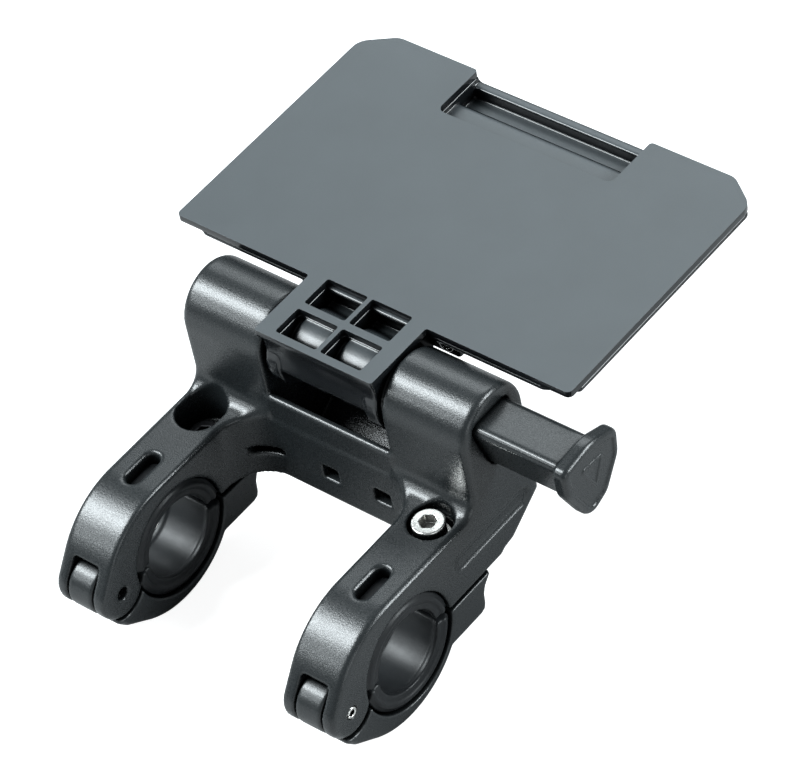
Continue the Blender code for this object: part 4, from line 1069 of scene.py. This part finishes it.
def make_spring():
    """Round wire wound on the lock pin with closed ends."""
    low, high = node_box("return_spring")
    wire_r, coil_r, turns, per_turn, sides = 0.45, 5.4, 7, 40, 12
    bm = bmesh.new()
    rings = []
    for i in range(turns * per_turn + 1):
        turn = i / per_turn
        rise = min(turn, 0.8) + max(turn - turns + 0.8, 0)
        middle = min(max(turn - 0.8, 0), turns - 1.6)
        closing = wire_r * 2.1 / 0.8
        open_pitch = (high[0] - low[0] - 2 * wire_r - 1.6 * closing) / (turns - 1.6)
        along = low[0] + wire_r + rise * closing + middle * open_pitch
        angle = 2 * math.pi * turn
        outward = Vector((0, math.cos(angle), math.sin(angle)))
        centre = Vector((along, *HINGE)) + outward * coil_r
        ring = []
        for k in range(sides):
            around = 2 * math.pi * k / sides
            offset = outward * math.cos(around) + Vector((1, 0, 0)) * math.sin(around)
            ring.append(bm.verts.new((centre + offset * wire_r + Vector(BAR_AXIS)) * MM))
        rings.append(ring)
    for first, second in zip(rings, rings[1:]):
        for k in range(sides):
            bm.faces.new((first[k], first[(k + 1) % sides], second[(k + 1) % sides], second[k]))
    bm.faces.new(rings[0])
    bm.faces.new(rings[-1])
    bmesh.ops.recalc_face_normals(bm, faces=bm.faces[:])
    mesh = mesh_of(bm, "spring_coil")
    mesh.shade_smooth()
    coil = add_piece("spring_coil", mesh, LOOKS["spring_steel"], "bracket", "spring_steel", "return_spring")
    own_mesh(coil)


# -------- stage, light and camera

FLOOR_GLOW = 0.9
STUDIO_WHITE = (0.90, 0.97, 1.0)      # slightly cool


def make_floor():
    """A wide white sweep; it glows a little, to the camera only, so that it stays pale in shadow."""
    level = (min(bracket_low[2], jaw_low[2]) + BAR_AXIS[2]) * MM - 0.0005
    bm = bmesh.new()
    bmesh.ops.create_grid(bm, x_segments=1, y_segments=1, size=6.0)
    bmesh.ops.translate(bm, verts=bm.verts[:], vec=(0, 0, level))
    mesh = mesh_of(bm, "floor")
    floor = add_object("floor", mesh)
    made, nodes, links = new_material("floor_paper")
    shader = nodes["Principled BSDF"]
    place = nodes.new("ShaderNodeTexCoord").outputs["Object"]
    shade = ramp(nodes, links, noise(nodes, links, place, 12.0), [(0.3, 0.39), (0.7, 0.41)])
    links.new(shade, shader.inputs["Base Color"])
    shader.inputs["Roughness"].default_value = 0.85
    shader.inputs["Specular IOR Level"].default_value = 0.1
    shader.inputs["Emission Color"].default_value = (1.0, 1.0, 1.0, 1)
    glow = nodes.new("ShaderNodeMath")
    glow.operation = "MULTIPLY"
    links.new(nodes.new("ShaderNodeLightPath").outputs["Is Camera Ray"], glow.inputs[0])
    glow.inputs[1].default_value = FLOOR_GLOW
    links.new(glow.outputs[0], shader.inputs["Emission Strength"])
    mesh.materials.append(made)


def softbox(name, direction, distance, size, power):
    """A rectangular light that faces the object from a direction; size is along X and across it."""
    data = bpy.data.lights.new(name, "AREA")
    data.energy = power
    data.color = STUDIO_WHITE
    data.shape = "RECTANGLE"
    data.size, data.size_y = size
    light = add_object(name, data)
    away = Vector(direction).normalized()
    across = Vector((1, 0, 0)) - away * away.x
    across.normalize()
    upright = away.cross(across)
    centre = Vector(BAR_AXIS * MM) + Vector((0.0, 0.04, 0.02))
    turn = Matrix((across, upright, away)).transposed().to_4x4()
    light.matrix_world = Matrix.Translation(centre + away * distance) @ turn


def make_lights():
    softbox("key_softbox", (-0.56, -0.36, 0.75), 1.0, (0.75, 0.34), 22.0)
    softbox("top_softbox", (-0.30, 0.62, 0.72), 1.2, (0.9, 0.5), 6.0)
    softbox("right_edge_strip", (0.74, 0.46, 0.49), 1.0, (0.5, 0.3), 12.0)
    softbox("low_side_softbox", (0.90, -0.38, 0.20), 1.0, (0.6, 0.4), 1.5)
    softbox("front_edge_strip", (-0.52, -0.71, 0.48), 1.0, (0.35, 0.12), 2.0)
    world = bpy.data.worlds.new("studio")
    bpy.context.scene.world = world
    world.use_nodes = True
    backdrop = world.node_tree.nodes["Background"]
    backdrop.inputs["Color"].default_value = (*STUDIO_WHITE, 1)
    backdrop.inputs["Strength"].default_value = 0.26
    bpy.context.scene.view_settings.view_transform = "Standard"


def make_camera():
    """Long lens from the front right, 45 degrees up, rolled slightly so the bar falls to the right."""
    right = Vector((0.7748, 0.6144, -0.1488))
    up = Vector((-0.3628, 0.6250, 0.6912))
    back = right.cross(up).normalized()
    up = back.cross(right).normalized()
    right.normalize()
    place = Vector((0.5786, -0.4824, 0.8075)) + Vector(BAR_AXIS * MM)
    data = bpy.data.cameras.new("camera")
    data.sensor_width = 36.0
    data.lens = 205.0
    data.clip_start = 0.01
    camera = add_object("camera", data)
    camera.matrix_world = Matrix((
        (right.x, up.x, back.x, place.x), (right.y, up.y, back.y, place.y), (right.z, up.z, back.z, place.z),
        (0, 0, 0, 1)))
    bpy.context.scene.camera = camera


# -------- the whole object

make_bracket()
for side, sign in SIDES.items():
    clamp = sign * CLAMP_X
    make_jaw(side, clamp)
    make_pads(side, clamp)
    make_bolt(side, clamp)
    make_insert(side, clamp)
    make_roll_pin(side)
    make_screw(f"rear_screw_{side}", "Z")
    make_screw(f"spine_screw_{side}", "Y")
make_top_plate()
make_carrier()
make_shaft()
make_cap()
make_lock_parts()
make_bushes()
make_spring()
make_floor()
make_lights()
make_camera()
